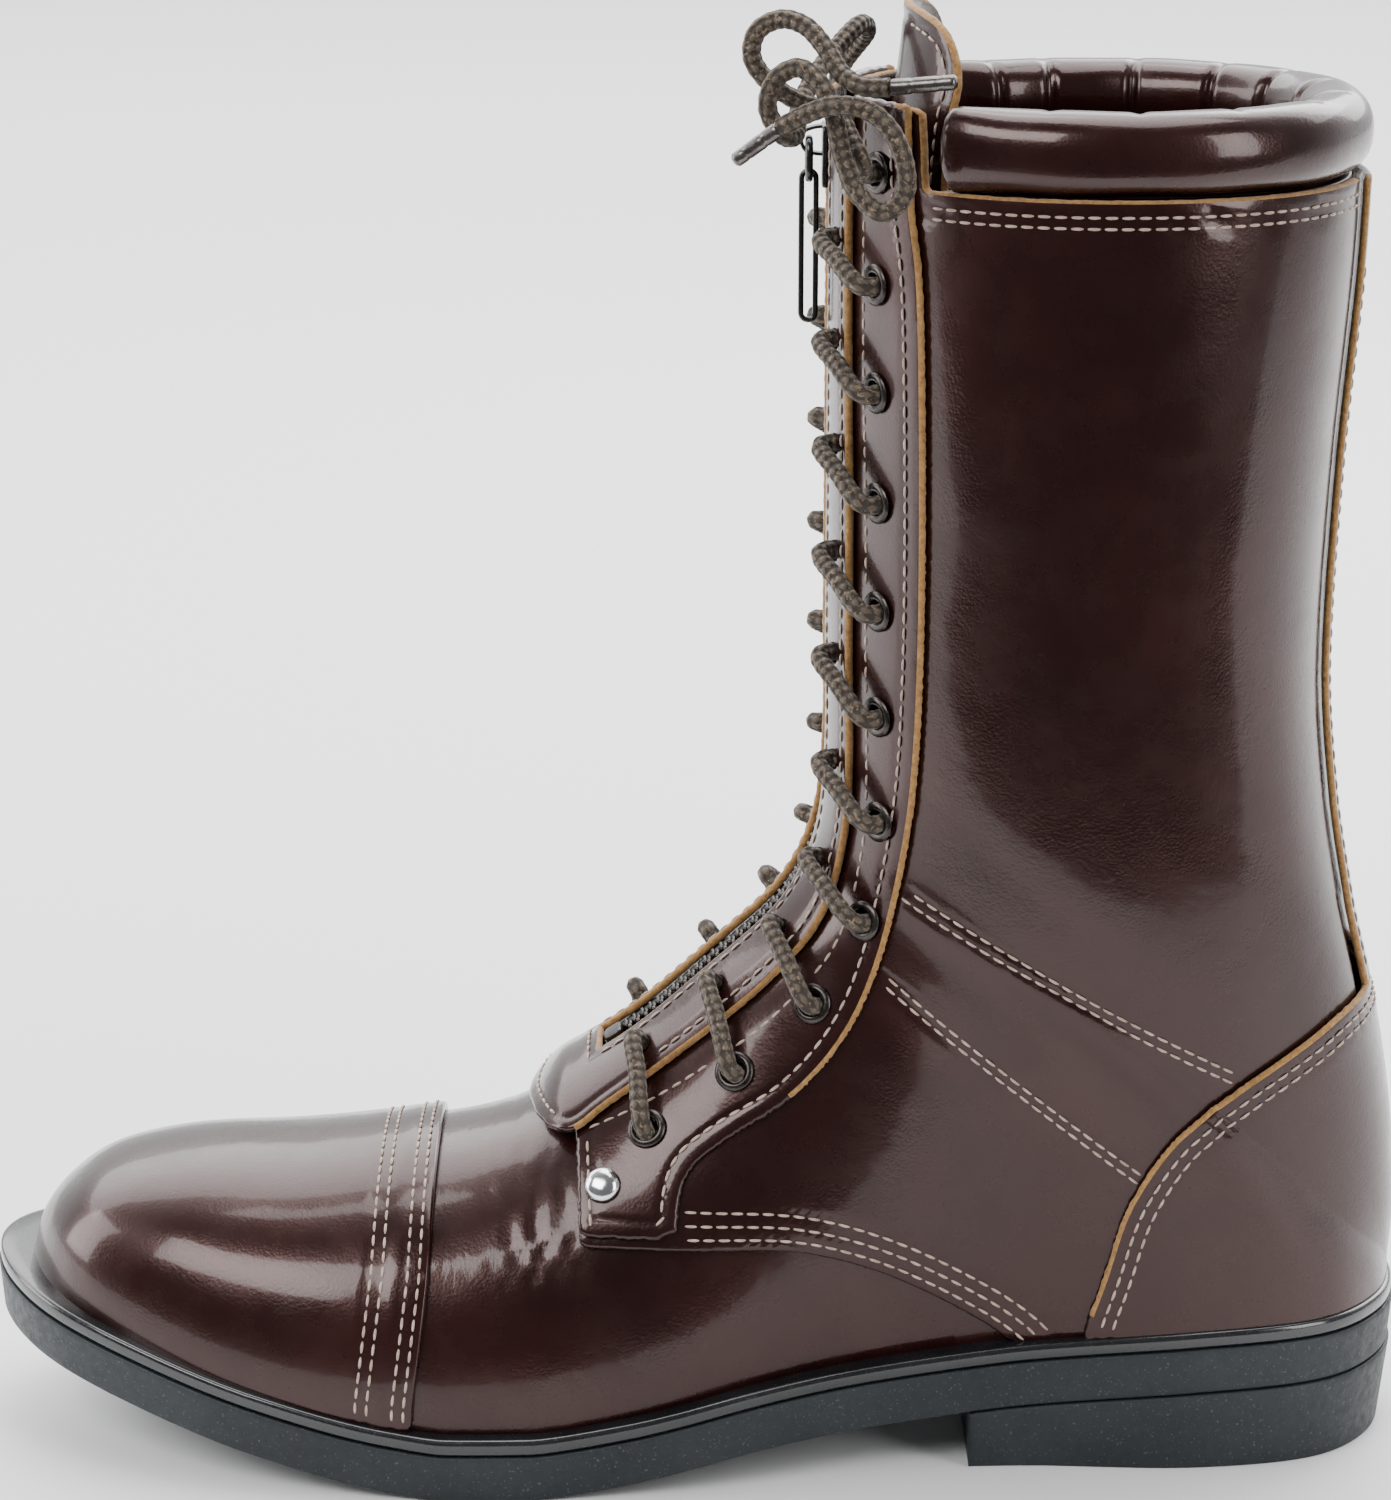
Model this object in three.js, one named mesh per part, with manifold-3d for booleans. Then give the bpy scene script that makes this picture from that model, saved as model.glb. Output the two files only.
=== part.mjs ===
// A ten-inch leather firefighter's boot with a lace-in zip panel.
// Millimetres. Toe at -X, heel at +X, lateral side at -Y, +Z up. The origin is on the floor, under the
// middle of the boot's outline.
import * as THREE from "three";
import { mergeVertices } from "three/addons/utils/BufferGeometryUtils.js";
import Module from "manifold-3d";

const wasm = await Module();
wasm.setup();

// ---- Driving dimensions ----
const gap = 0.3; // between pieces that touch
const soleLength = 308;
const drawnLength = 308; // the length that the seams and sections are drawn for, before they are stretched
const ballHalf = 53; // half widths of the sole
const waistHalf = 40;
const heelHalf = 38;
const toeSwing = 6; // how far the toe tip swings to the medial side
const toeSpring = 24; // sole height under the toe tip
const heelHeight = 19;
const outsoleThick = 10.2;
const weltThick = 3.5;
const weltWidth = 14;
const bootHeight = 292; // floor to the top of the collar
const shaftSetBack = 120.7; // from the shaft's front line to the back of the heel, as drawn
const shaftDepth = 98; // fore and aft, at mid shaft
const shaftHalf = 51.5;
const instepHeight = 100; // of the front line over the instep station
const leather = 2; // upper leather
const overlay = 1.6; // eyestay, counter cover and backstay leather
const liningThick = 1.5;
const stiffenerThick = 2;
const tongueThick = 1.9;
const tongueRise = 17; // from the collar's top to the tongue's
const tongueHalf = 36;
const collarDrop = 17; // from the boot's top to the quarter's top edge
const collarHalfThick = 7.5;
const collarSetIn = 3; // its middle lies this far inside the quarter's base
const collarSlim = 2.9; // taken off each half of its thickness at its front ends, all on the inner side
const eyestayFrontHalf = 17.5;
const panelHalf = 20; // outer edge of the zip panel's strips
const panelSlotHalf = 6.2; // inner edge of the strips
const panelThick = 1.8;
const tapeHalf = 9.5;
const tapeThick = 0.8;
const teethHalf = 3.2;
const teethThick = 2.8;
const teethProud = 0.65; // how far they stand above the strips' underside
const teethSplit = 0.8; // half the slit between them
const backstayHalf = 15;
const laceWidth = 4;
const lacePassage = laceWidth + 0.6; // depth kept free for the lace under the eyestays
const eyeletBore = laceWidth + 0.8;
const eyeletWall = 0.6;
const flangeWidth = eyeletBore + 3.8;
const topEyeletDrop = 15; // from the collar's top to the top eyelets
const eyeletsPerSide = 11;
const laceHoleReach = 13.8; // distance of the strips' lace holes from the centre line
const laceHoleLead = 5; // how far each strip hole sits above its eyelet
const laceHoleWidth = laceWidth + 2;

// ---- Levels, as distances outward from the upper's base surface ----
const quarterIn = gap;
const quarterOut = quarterIn + leather;
const overlayIn = quarterOut + gap;
const overlayOut = overlayIn + overlay;
const panelIn = overlayOut + gap;
const panelOut = panelIn + panelThick;
const liningOut = -leather - gap;
const liningIn = liningOut - liningThick;
const tongueOut = quarterIn - gap - lacePassage;
const laceUnder = (tongueOut + quarterIn) / 2 - 0.15;
const eyeletSeat = overlayOut + 0.5;
const flangeThick = 0.5;

// ---- Materials ----
const finish = (color, roughness, metalness = 0) =>
  new THREE.MeshStandardMaterial({ color, roughness, metalness });
const polishedLeather = finish(0x3f1a1a, 0.28);
const liningLeather = finish(0x4a2422, 0.45);
const rubber = finish(0x1f272c, 0.75);
const glossRubber = finish(0x0c0d0f, 0.3);
const board = finish(0xa88a62, 0.9);
const cork = finish(0x8a6a45, 0.95);
const steel = finish(0x9a9da0, 0.35, 1);
const gunmetal = finish(0x2b2523, 0.35, 0.9);
const chrome = finish(0xd8dadc, 0.12, 1);
const tapeCloth = finish(0x1a1717, 0.9);
const laceCord = finish(0x5f5142, 0.9);
const blackMetal = finish(0x141414, 0.35, 0.9);
const foamCloth = finish(0x262424, 0.95);

// ---- Small tools ----
const clamp = (value, low, high) => Math.min(high, Math.max(low, value));
const mix = (a, b, t) => a + (b - a) * t;
const ease = (t) => {
  const c = clamp(t, 0, 1);
  return c * c * (3 - 2 * c);
};

// Catmull-Rom value of a list of numbers at position s, counted in list steps.
function smooth(list, s) {
  const last = list.length - 1;
  const i = clamp(Math.floor(s), 0, last - 1);
  const t = s - i;
  const p1 = list[i];
  const p2 = list[i + 1];
  const p0 = i > 0 ? list[i - 1] : 2 * p1 - p2;
  const p3 = i + 2 <= last ? list[i + 2] : 2 * p2 - p1;
  const a = 2 * p1 + (p2 - p0) * t;
  const b = (2 * p0 - 5 * p1 + 4 * p2 - p3) * t * t;
  const c = (3 * p1 - p0 - 3 * p2 + p3) * t * t * t;
  return 0.5 * (a + b + c);
}

// Height of a profile, given as [x, z] points in order of x.
function heightAt(profile, x) {
  const last = profile.length - 1;
  let i = 0;
  while (i < last - 1 && x > profile[i + 1][0]) i += 1;
  const t = clamp((x - profile[i][0]) / (profile[i + 1][0] - profile[i][0]), 0, 1);
  return smooth(profile.map((p) => p[1]), i + t);
}

function manifoldOf(geometry) {
  const plain = geometry.clone();
  plain.deleteAttribute("normal");
  plain.deleteAttribute("uv");
  const merged = mergeVertices(plain, 1e-4);
  return new wasm.Manifold(
    new wasm.Mesh({
      numProp: 3,
      vertProperties: new Float32Array(merged.attributes.position.array),
      triVerts: new Uint32Array(merged.index.array),
    }),
  );
}

function meshOf(solid, name, material) {
  const made = solid.getMesh();
  const geometry = new THREE.BufferGeometry();
  geometry.setAttribute("position", new THREE.BufferAttribute(made.vertProperties, 3));
  geometry.setIndex(new THREE.BufferAttribute(made.triVerts, 1));
  geometry.computeVertexNormals();
  const mesh = new THREE.Mesh(geometry, material);
  mesh.name = name;
  return mesh;
}

// ---- Sole outline and heights ----
const toeX = -soleLength / 2;
const heelX = soleLength / 2;
const along = (x) => (x * soleLength) / drawnLength;
const lengthened = (points) => points.map(([x, z]) => [along(x), z]);
const shaftFront = heelX - along(shaftSetBack);
const outline = [
  [toeX, 0],
  [toeX + along(5), 0.33 * ballHalf],
  [toeX + along(19), 0.62 * ballHalf],
  [toeX + along(45), 0.84 * ballHalf],
  [toeX + along(78), 0.965 * ballHalf],
  [toeX + along(112), ballHalf],
  [toeX + along(150), 0.93 * ballHalf],
  [heelX - along(122), waistHalf],
  [heelX - along(85), 0.97 * heelHalf],
  [heelX - along(48), heelHalf],
  [heelX - along(20), 0.85 * heelHalf],
  [heelX - along(5), 0.48 * heelHalf],
  [heelX, 0],
];
const outlineEnd = outline.length - 1;
const groundProfile = [
  [toeX, toeSpring],
  [toeX + along(29), 0.69 * toeSpring],
  [toeX + along(60), 0.33 * toeSpring],
  [toeX + along(92), 0.05 * toeSpring],
  [toeX + along(114), -0.4],
  [toeX + along(139), 0.13 * heelHeight],
  [toeX + along(164), 0.37 * heelHeight],
  [toeX + along(191), 0.56 * heelHeight],
  [toeX + along(222), 0.76 * heelHeight],
  [toeX + along(262), 0.95 * heelHeight],
  [heelX, heelHeight],
];
const soleThick = outsoleThick + gap + weltThick;
const underside = (x) => Math.max(0, heightAt(groundProfile, x));
const featherHeight = (x) => Math.max(0, heightAt(groundProfile, x)) + soleThick;
const swing = (x) => toeSwing * Math.max(0, (-x - 40) / 114) ** 2;

// Point of the outline at position q, moved in by inset: [x, half width].
function outlineAt(q, inset) {
  const point = (s) => {
    const mirrored = s < 0 || s > outlineEnd;
    const inside = s < 0 ? -s : s > outlineEnd ? 2 * outlineEnd - s : s;
    const widths = [-outline[1][1], ...outline.map((p) => p[1]), -outline[outlineEnd - 1][1]];
    const lengths = [outline[1][0], ...outline.map((p) => p[0]), outline[outlineEnd - 1][0]];
    const half = smooth(widths, inside + 1);
    return [smooth(lengths, inside + 1), mirrored ? -half : half];
  };
  const [x, y] = point(q);
  const [xa, ya] = point(q - 0.02);
  const [xb, yb] = point(q + 0.02);
  const run = Math.hypot(xb - xa, yb - ya);
  const half = q <= 0 || q >= outlineEnd ? 0 : y - (inset * (xb - xa)) / run;
  return [x + (inset * (yb - ya)) / run, Math.max(0, half)];
}

// ---- The upper's base surface ----
// Each station is one section of the upper: a curve that leaves the front line square to it, at
// [frontX, frontZ], and comes down the side to its end. The end is on the feather line, at outline
// position "feather", and past the heel's corner it is on the back line at height "back".
// "front" and "side" are how far the curve's handles reach, and "turn" leans its end round the heel.
const toeLedge = 10.3; // the base surface stands this far inside the sole's outline at the toe
const shaftReach = shaftHalf / 0.75;
const shaftRow = 30; // the last two sections lie this far under the collar's top
const topRow = 22; // and this far over it
const heelCorner = outlineEnd;
const stations = [
  { frontX: toeX + toeLedge, frontZ: 35.5, feather: 0, front: 0, side: 0, turn: 0 },
  { frontX: toeX + toeLedge + along(2.2), frontZ: 43, feather: 0.6, front: 7, side: 4, turn: 0 },
  { frontX: toeX + along(18), frontZ: 49.5, feather: 1.15, front: 16, side: 9, turn: 0 },
  { frontX: toeX + along(28), frontZ: 55, feather: 1.8, front: 25, side: 14, turn: 0 },
  { frontX: toeX + along(46), frontZ: 58.5, feather: 2.65, front: 30, side: 20, turn: 0 },
  { frontX: toeX + along(70), frontZ: 60, feather: 3.55, front: 33, side: 25, turn: 0 },
  { frontX: toeX + along(96), frontZ: 64, feather: 4.4, front: 34, side: 29, turn: 0 },
  { frontX: toeX + along(116), frontZ: 69.5, feather: 5.15, front: 32, side: 33, turn: 0 },
  { frontX: toeX + along(141), frontZ: instepHeight - 16, feather: 6.1, front: 29, side: 40, turn: 0 },
  { frontX: toeX + along(160), frontZ: instepHeight, feather: 7, front: 34, side: 50, turn: 0 },
  { frontX: shaftFront - 11, frontZ: instepHeight + 15.5, feather: 8.3, front: 46, side: 60, turn: 0 },
  { frontX: shaftFront - 2.6, frontZ: instepHeight + 32, feather: 10, front: 60, side: 60, turn: 0.15 },
  { frontX: shaftFront, frontZ: 152, feather: heelCorner, front: 68, side: 52, turn: 0.5 },
  { frontX: shaftFront, frontZ: 181, back: 80, front: 68, side: 52, turn: 0.78 },
  { frontX: shaftFront, frontZ: 215, back: 140, front: 64, side: 61, turn: 0.94 },
  {
    frontX: shaftFront,
    frontZ: bootHeight - shaftRow,
    back: bootHeight - 67,
    front: shaftReach - 1,
    side: shaftReach - 1,
    turn: 1,
  },
  {
    frontX: shaftFront,
    frontZ: bootHeight + topRow,
    back: bootHeight + topRow,
    front: shaftReach,
    side: shaftReach,
    turn: 1,
  },
];
const tuck = 2.5; // how far the base surface runs on below the welt's top, before it is trimmed
const cornerStation = stations.findIndex((row) => row.feather === heelCorner);
const topStation = stations.length - 1;
const backLine = [
  [34, heelX - along(5.6)],
  [50, heelX - along(5)],
  [72, heelX - along(7)],
  [95, heelX - along(11)],
  [115, heelX - along(16)],
  [140, shaftFront + shaftDepth + 2],
  [170, shaftFront + shaftDepth - 1],
  [215, shaftFront + shaftDepth],
  [bootHeight - 32, shaftFront + shaftDepth + 3],
  [bootHeight + topRow, shaftFront + shaftDepth + 4],
];
const ledge = (q) => mix(mix(toeLedge, 4.2, ease(q / 4)), 5.6, ease((q - 5) / 3));
const column = (key) => stations.map((row) => row[key]);
const featherColumn = stations.slice(0, cornerStation + 1).map((row) => row.feather);
const backColumn = [
  featherHeight(heelX) - tuck,
  ...stations.slice(cornerStation + 1).map((row) => row.back),
];

function sectionEnd(s) {
  if (s < cornerStation) {
    const q = clamp(smooth(featherColumn, s), 0, outlineEnd);
    const [x, half] = outlineAt(q, ledge(q));
    const [xa, ya] = outlineAt(Math.max(0.01, q - 0.03), ledge(q));
    const [xb, yb] = outlineAt(Math.min(outlineEnd - 0.01, q + 0.03), ledge(q));
    const along = new THREE.Vector2(xb - xa, ya - yb).normalize();
    return { x, half, z: featherHeight(x) - tuck, along };
  }
  const z = smooth(backColumn, s - cornerStation);
  return { x: heightAt(backLine, z), half: 0, z, along: new THREE.Vector2(0, 1) };
}

// Point of the near half of the base surface: s counts stations from the toe tip, t runs 0 to 1 from
// the front line to the section's end.
function basePoint(s, t) {
  const end = sectionEnd(s);
  const front = Math.max(0, smooth(column("front"), s));
  const side = Math.max(0, smooth(column("side"), s));
  const lean = (clamp(smooth(column("turn"), s), 0, 1) * Math.PI) / 2;
  const sideways = Math.sin(lean) * side;
  const p0 = new THREE.Vector3(smooth(column("frontX"), s), 0, smooth(column("frontZ"), s));
  const p1 = new THREE.Vector3(p0.x, -front, p0.z);
  const p3 = new THREE.Vector3(end.x, -end.half, end.z);
  const p2 = new THREE.Vector3(
    end.x - end.along.x * sideways,
    -end.half - end.along.y * sideways,
    end.z + Math.cos(lean) * side,
  );
  return new THREE.CubicBezierCurve3(p0, p1, p2, p3).getPoint(t);
}

function baseNormal(s, t) {
  const step = 0.02;
  const across = basePoint(s, Math.min(1, t + step)).sub(basePoint(s, Math.max(0, t - step)));
  const low = clamp(s - step, 0.05, topStation);
  const high = clamp(s + step, 0.1, topStation);
  const along = basePoint(high, t).sub(basePoint(low, t));
  const normal = across.cross(along).normalize();
  if (t === 0) normal.y = 0;
  if (t === 1 && s < cornerStation) normal.z = 0;
  if (t === 1 && s >= cornerStation) normal.y = 0;
  if (s === 0) normal.set(-1, 0, 0);
  return normal.normalize();
}

// Mirrors to the far side and swings the toe inwards.
function placed(point, side) {
  return new THREE.Vector3(point.x, side * Math.abs(point.y) + swing(point.x), point.z);
}

// The lattice that every layer of the upper shares: rows run along the boot and columns round it.
const columnStops = [0, 0.07, 0.15, 0.25, 0.38, 0.54, 0.72, 0.88, 1];
const fineRows = [7, 15]; // rows are twice as close between these two
const rowStops = stations.flatMap((_, s) => {
  const fine = s >= fineRows[0] && s < fineRows[1];
  return fine ? [s, s + 0.5] : [s];
});
const lattice = [];
for (const s of rowStops) {
  const points = [];
  for (let j = -(columnStops.length - 1); j < columnStops.length; j += 1) {
    const side = j < 0 ? 1 : -1;
    const t = columnStops[Math.abs(j)];
    const normal = baseNormal(s, t);
    points.push({
      s,
      t,
      at: placed(basePoint(s, t), side),
      normal: new THREE.Vector3(normal.x, -side * normal.y, normal.z),
    });
  }
  lattice.push(points);
}

// A closed shell between two levels of the lattice. A level is a number, or a function of a lattice point.
function layer(inner, outer, firstStation = 0, lastStation = topStation) {
  const levelOf = (level, point) => (typeof level === "number" ? level : level(point));
  const keys = new Map();
  const points = [];
  const indexOf = (point) => {
    const key = point.at.toArray().map((value) => Math.round(value * 500)).join();
    if (!keys.has(key)) {
      keys.set(key, points.length);
      points.push(point);
    }
    return keys.get(key);
  };
  const triangles = [];
  const addTriangle = (a, b, c) => {
    if (a !== b && b !== c && c !== a) triangles.push([a, b, c]);
  };
  for (let row = rowStops.indexOf(firstStation); row < rowStops.indexOf(lastStation); row += 1) {
    for (let j = 0; j < lattice[row].length - 1; j += 1) {
      const corners = [lattice[row][j], lattice[row][j + 1], lattice[row + 1][j + 1], lattice[row + 1][j]];
      const [a, b, c, d] = corners.map(indexOf);
      addTriangle(a, b, c);
      addTriangle(a, c, d);
    }
  }
  const edges = new Set(triangles.flatMap(([a, b, c]) => [a + "," + b, b + "," + c, c + "," + a]));
  const count = points.length;
  const all = triangles.map((t) => [...t]);
  triangles.forEach(([a, b, c]) => all.push([c + count, b + count, a + count]));
  triangles.forEach(([a, b, c]) => {
    [[a, b], [b, c], [c, a]].forEach(([from, to]) => {
      if (edges.has(to + "," + from)) return;
      all.push([to, from, from + count], [to, from + count, to + count]);
    });
  });
  const place = (level) => (point) =>
    point.at.clone().addScaledVector(point.normal, levelOf(level, point)).toArray();
  return new wasm.Manifold(
    new wasm.Mesh({
      numProp: 3,
      vertProperties: new Float32Array([...points.flatMap(place(outer)), ...points.flatMap(place(inner))]),
      triVerts: new Uint32Array(all.flat()),
    }),
  );
}

// ---- Cutters ----
const wide = 120;
// A side-view outline of [x, z] points, as a prism through one or both sides of the boot.
function sidePrism(points, yLow = -wide, yHigh = wide) {
  const shape = new THREE.Shape(points.map(([x, z]) => new THREE.Vector2(x, z)));
  const geometry = new THREE.ExtrudeGeometry(shape, { depth: yHigh - yLow, bevelEnabled: false });
  geometry.rotateX(Math.PI / 2);
  geometry.translate(0, yHigh, 0);
  return manifoldOf(geometry);
}

// A front-view outline of [y, z] points, as a prism from xLow to xHigh.
function frontPrism(points, xLow, xHigh) {
  const shape = new THREE.Shape(points.map(([y, z]) => new THREE.Vector2(y, z)));
  const geometry = new THREE.ExtrudeGeometry(shape, { depth: xHigh - xLow, bevelEnabled: false });
  geometry.rotateX(Math.PI / 2);
  geometry.rotateZ(Math.PI / 2);
  geometry.translate(xLow, 0, 0);
  return manifoldOf(geometry);
}

function block(xLow, xHigh, yLow, yHigh, zLow, zHigh) {
  const geometry = new THREE.BoxGeometry(xHigh - xLow, yHigh - yLow, zHigh - zLow);
  geometry.translate((xLow + xHigh) / 2, (yLow + yHigh) / 2, (zLow + zHigh) / 2);
  return manifoldOf(geometry);
}

// A round rod between two points, flat at both ends.
function rod(from, to, radius, sides = 10) {
  const geometry = new THREE.CylinderGeometry(radius, radius, from.distanceTo(to), sides);
  const turn = new THREE.Quaternion().setFromUnitVectors(
    new THREE.Vector3(0, 1, 0),
    to.clone().sub(from).normalize(),
  );
  geometry.applyQuaternion(turn);
  geometry.translate((from.x + to.x) / 2, (from.y + to.y) / 2, (from.z + to.z) / 2);
  return manifoldOf(geometry);
}

// Points on a side-view outline moved sideways by a distance, to the left of its direction.
function shifted(points, distance) {
  return points.map(([x, z], i) => {
    const [xa, za] = points[Math.max(0, i - 1)];
    const [xb, zb] = points[Math.min(points.length - 1, i + 1)];
    const run = Math.hypot(xb - xa, zb - za);
    return [x - (distance * (zb - za)) / run, z + (distance * (xb - xa)) / run];
  });
}

// A smooth run of points through a few chosen ones.
function flowing(points, steps = 3) {
  const made = [];
  for (let i = 0; i <= (points.length - 1) * steps; i += 1) {
    const s = i / steps;
    made.push([smooth(points.map((p) => p[0]), s), smooth(points.map((p) => p[1]), s)]);
  }
  return made;
}

// ---- Seam lines, in side view ----
const capSeam = [
  [toeX + along(94), -10],
  [toeX + along(94.8), 20],
  [toeX + along(98), 45],
  [toeX + along(100.5), 90],
];
const capLap = 12; // how far the vamp runs under the toe cap
const vampFront = capSeam.map(([x, z]) => [x - capLap, z]);
const quarterFrontX = along(-24);
const quarterEdge = flowing(lengthened([
  [-24, 52],
  [-2, 51.5],
  [20, 50.5],
  [38, 45.5],
  [55, 37],
  [68, 28],
  [78, 16],
]));
const quarterLap = 12;
const counterEdge = flowing(lengthened([
  [80, 10],
  [83, 30],
  [87, 44],
  [92, 62],
  [101, 77],
  [114, 88.5],
  [127, 97],
  [139, 102],
  [165, 104.5],
]));
const eyestayEdge = flowing(lengthened([
  [-3, 40],
  [-3.5, 56],
  [-1, 66],
  [7, 73],
  [21, 82.5],
  [32, 95],
  [40, 111],
  [45, 130],
  [48, 152],
  [49, 180],
  [49, 215],
  [48, bootHeight - 37],
  [46, bootHeight - 16],
  [45, bootHeight + 28],
]), 2);
const throatX = along(-12);

// ---- Slabs of the sole: rows of points across the outline, between two heights ----
function slab(insetTop, insetBottom, low, high, first = 0, last = outlineEnd) {
  const steps = Math.round((last - first) * 3);
  const rows = [];
  for (let i = 0; i <= steps; i += 1) {
    const q = mix(first, last, i / steps);
    const edge = (inset, height) => {
      const [x, half] = outlineAt(q, inset);
      return [-half, half].map((y) => new THREE.Vector3(x, y + swing(x), height(x)));
    };
    const [bottomNear, bottomFar] = edge(insetBottom, low);
    const [topNear, topFar] = edge(insetTop, high);
    rows.push([bottomNear, bottomFar, topFar, topNear]);
  }
  return ringSolid(rows);
}

const weltLow = (x) => underside(x) + outsoleThick + gap;
const below = (height) => (x) => height(x) - 6;
const above = (height) => (x) => height(x) + 4;
const weltRoom = slab(-6, -6, below(featherHeight), (x) => featherHeight(x) + gap);

// ---- Upper pieces ----
const parts = new THREE.Group();
const add = (solid, name, material) => parts.add(meshOf(solid, name, material));

const cut = {
  toeSide: sidePrism([[-200, -10], ...capSeam, [toeX + along(100.5), 400], [-200, 400]]),
  frontOfVamp: sidePrism([[-200, -10], ...vampFront, [vampFront[3][0], 400], [-200, 400]]),
  behindVampFront: sidePrism([
    [250, -10],
    [250, 400],
    [vampFront[3][0] + gap, 400],
    ...vampFront.map(([x, z]) => [x + gap, z]).reverse(),
  ]),
  quarterZone: sidePrism([...quarterEdge, [300, 16], [300, 400], [quarterFrontX, 400]]),
  vampZone: sidePrism([
    [-200, -10],
    [along(90), -10],
    ...shifted(quarterEdge, quarterLap).reverse().filter(([x]) => x > throatX),
    [throatX, 52 + quarterLap],
    [throatX, 400],
    [-200, 400],
  ]),
  counterZone: sidePrism([...counterEdge, [heelX + 60, 104.5], [heelX + 60, -10]]),
  counterZoneGrown: sidePrism([...shifted(counterEdge, gap), [200, 104.5], [200, -10]]),
  eyestayZone: sidePrism([
    [quarterFrontX, 53.5],
    [along(-3.4), 53.5],
    ...eyestayEdge.filter(([, z]) => z > 54),
    [along(-60), bootHeight + 28],
    [along(-60), 90],
    [quarterFrontX, 76],
  ]),
  frontStrip: block(along(-60), shaftFront + 40, -eyestayFrontHalf, eyestayFrontHalf, 40, 400),
};

const heelZone = sidePrism([...shifted(counterEdge, 3), [200, 107], [200, -10]]);
const heelZoneGrown = sidePrism([...shifted(counterEdge, 3 + gap), [200, 107 + gap], [200, -10]]);

const toeCap = layer(quarterIn, quarterOut, 0, 8).intersect(cut.toeSide).subtract(weltRoom);
add(toeCap, "toe_cap", polishedLeather);

const toePuff = layer(-stiffenerThick, 0, 0, 8).intersect(cut.frontOfVamp).subtract(weltRoom);
add(toePuff, "toe_puff", board);

const vampWhole = layer(-leather, 0, 0, 12)
  .intersect(cut.behindVampFront)
  .intersect(cut.vampZone)
  .subtract(heelZoneGrown)
  .subtract(weltRoom);

const vampLining = layer(liningIn, liningOut, 0, 12)
  .intersect(cut.vampZone)
  .subtract(heelZoneGrown)
  .subtract(weltRoom);
add(vampLining, "vamp_lining", liningLeather);

const quarterTop = bootHeight - collarDrop;
const behindEyestay = sidePrism([...eyestayEdge, [250, 320], [250, 40]]);
const collarRoom = behindEyestay.intersect(block(0, 200, -wide, wide, quarterTop, 400));
const quarterLayer = layer(quarterIn, quarterOut, 6)
  .intersect(cut.quarterZone)
  .subtract(cut.frontStrip)
  .subtract(collarRoom)
  .subtract(weltRoom)
  .intersect(block(-200, 200, -wide, wide, 0, bootHeight - 1));

// ---- Places on the upper, for eyelets, lace holes and rivets ----
function placeAtT(s, t, side) {
  const at = placed(basePoint(s, t), side);
  const normal = baseNormal(s, Math.max(t, 1e-3));
  normal.y = side * Math.abs(normal.y);
  return { s, at, normal, out: (level) => at.clone().addScaledVector(normal, level) };
}

// The place that lies a given way round section s from the front line.
function placeAt(s, reach, side) {
  const step = 0.004;
  let travelled = 0;
  let t = 0;
  let last = basePoint(s, 0);
  while (travelled < reach && t < 1) {
    t += step;
    const next = basePoint(s, t);
    travelled += next.distanceTo(last);
    last = next;
  }
  return placeAtT(s, t, side);
}

// The place on one side of the upper whose side view is nearest to [x, z].
function placeNear(x, z, side) {
  let best = null;
  for (let s = 6; s < 12; s += 0.05) {
    for (let t = 0.1; t < 0.9; t += 0.02) {
      const point = basePoint(s, t);
      const miss = Math.hypot(point.x - x, point.z - z);
      if (!best || miss < best.miss) best = { miss, s, t };
    }
  }
  return placeAtT(best.s, best.t, side);
}

const eyeletReach = (s) => mix(30.5, 29, ease((s - 8) / 3));

// Stations of the eyelets: evenly spaced along their row, from the throat to a height near the top.
function evenStations(first, topHeight, count) {
  const step = 0.02;
  const row = [];
  let travelled = 0;
  for (let s = first; s < topStation; s += step) {
    const { at } = placeAt(s, eyeletReach(s), -1);
    if (row.length) travelled += at.distanceTo(row.at(-1).at);
    row.push({ s, at, travelled });
    if (at.z >= topHeight) break;
  }
  const spacing = travelled / (count - 1);
  return Array.from({ length: count }, (_, level) =>
    row.find((place) => place.travelled >= level * spacing - 1e-6).s);
}

const firstEyeletStation = 8.02;
const topEyeletHeight = bootHeight - topEyeletDrop;
const eyeletStations = evenStations(firstEyeletStation, topEyeletHeight, eyeletsPerSide);
function holeStation(s) {
  const low = placeAt(s - 0.5, laceHoleReach, -1).at;
  const high = placeAt(s + 0.5, laceHoleReach, -1).at;
  return s + laceHoleLead / low.distanceTo(high);
}
const sides = { lateral: -1, medial: 1 };
const eyeletPlaces = {};
const holePlaces = {};
for (const [name, side] of Object.entries(sides)) {
  eyeletPlaces[name] = eyeletStations.map((s) => placeAt(s, eyeletReach(s), side));
  holePlaces[name] = eyeletStations.map((s) => placeAt(holeStation(s), laceHoleReach, side));
}

// All the holes of one kind on one side, as one cutter between two levels.
function holeCutter(places, width, low, high) {
  const rods = places.map((place) => rod(place.out(low), place.out(high), width / 2, 6));
  return rods.reduce((all, next) => all.add(next));
}

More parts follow.
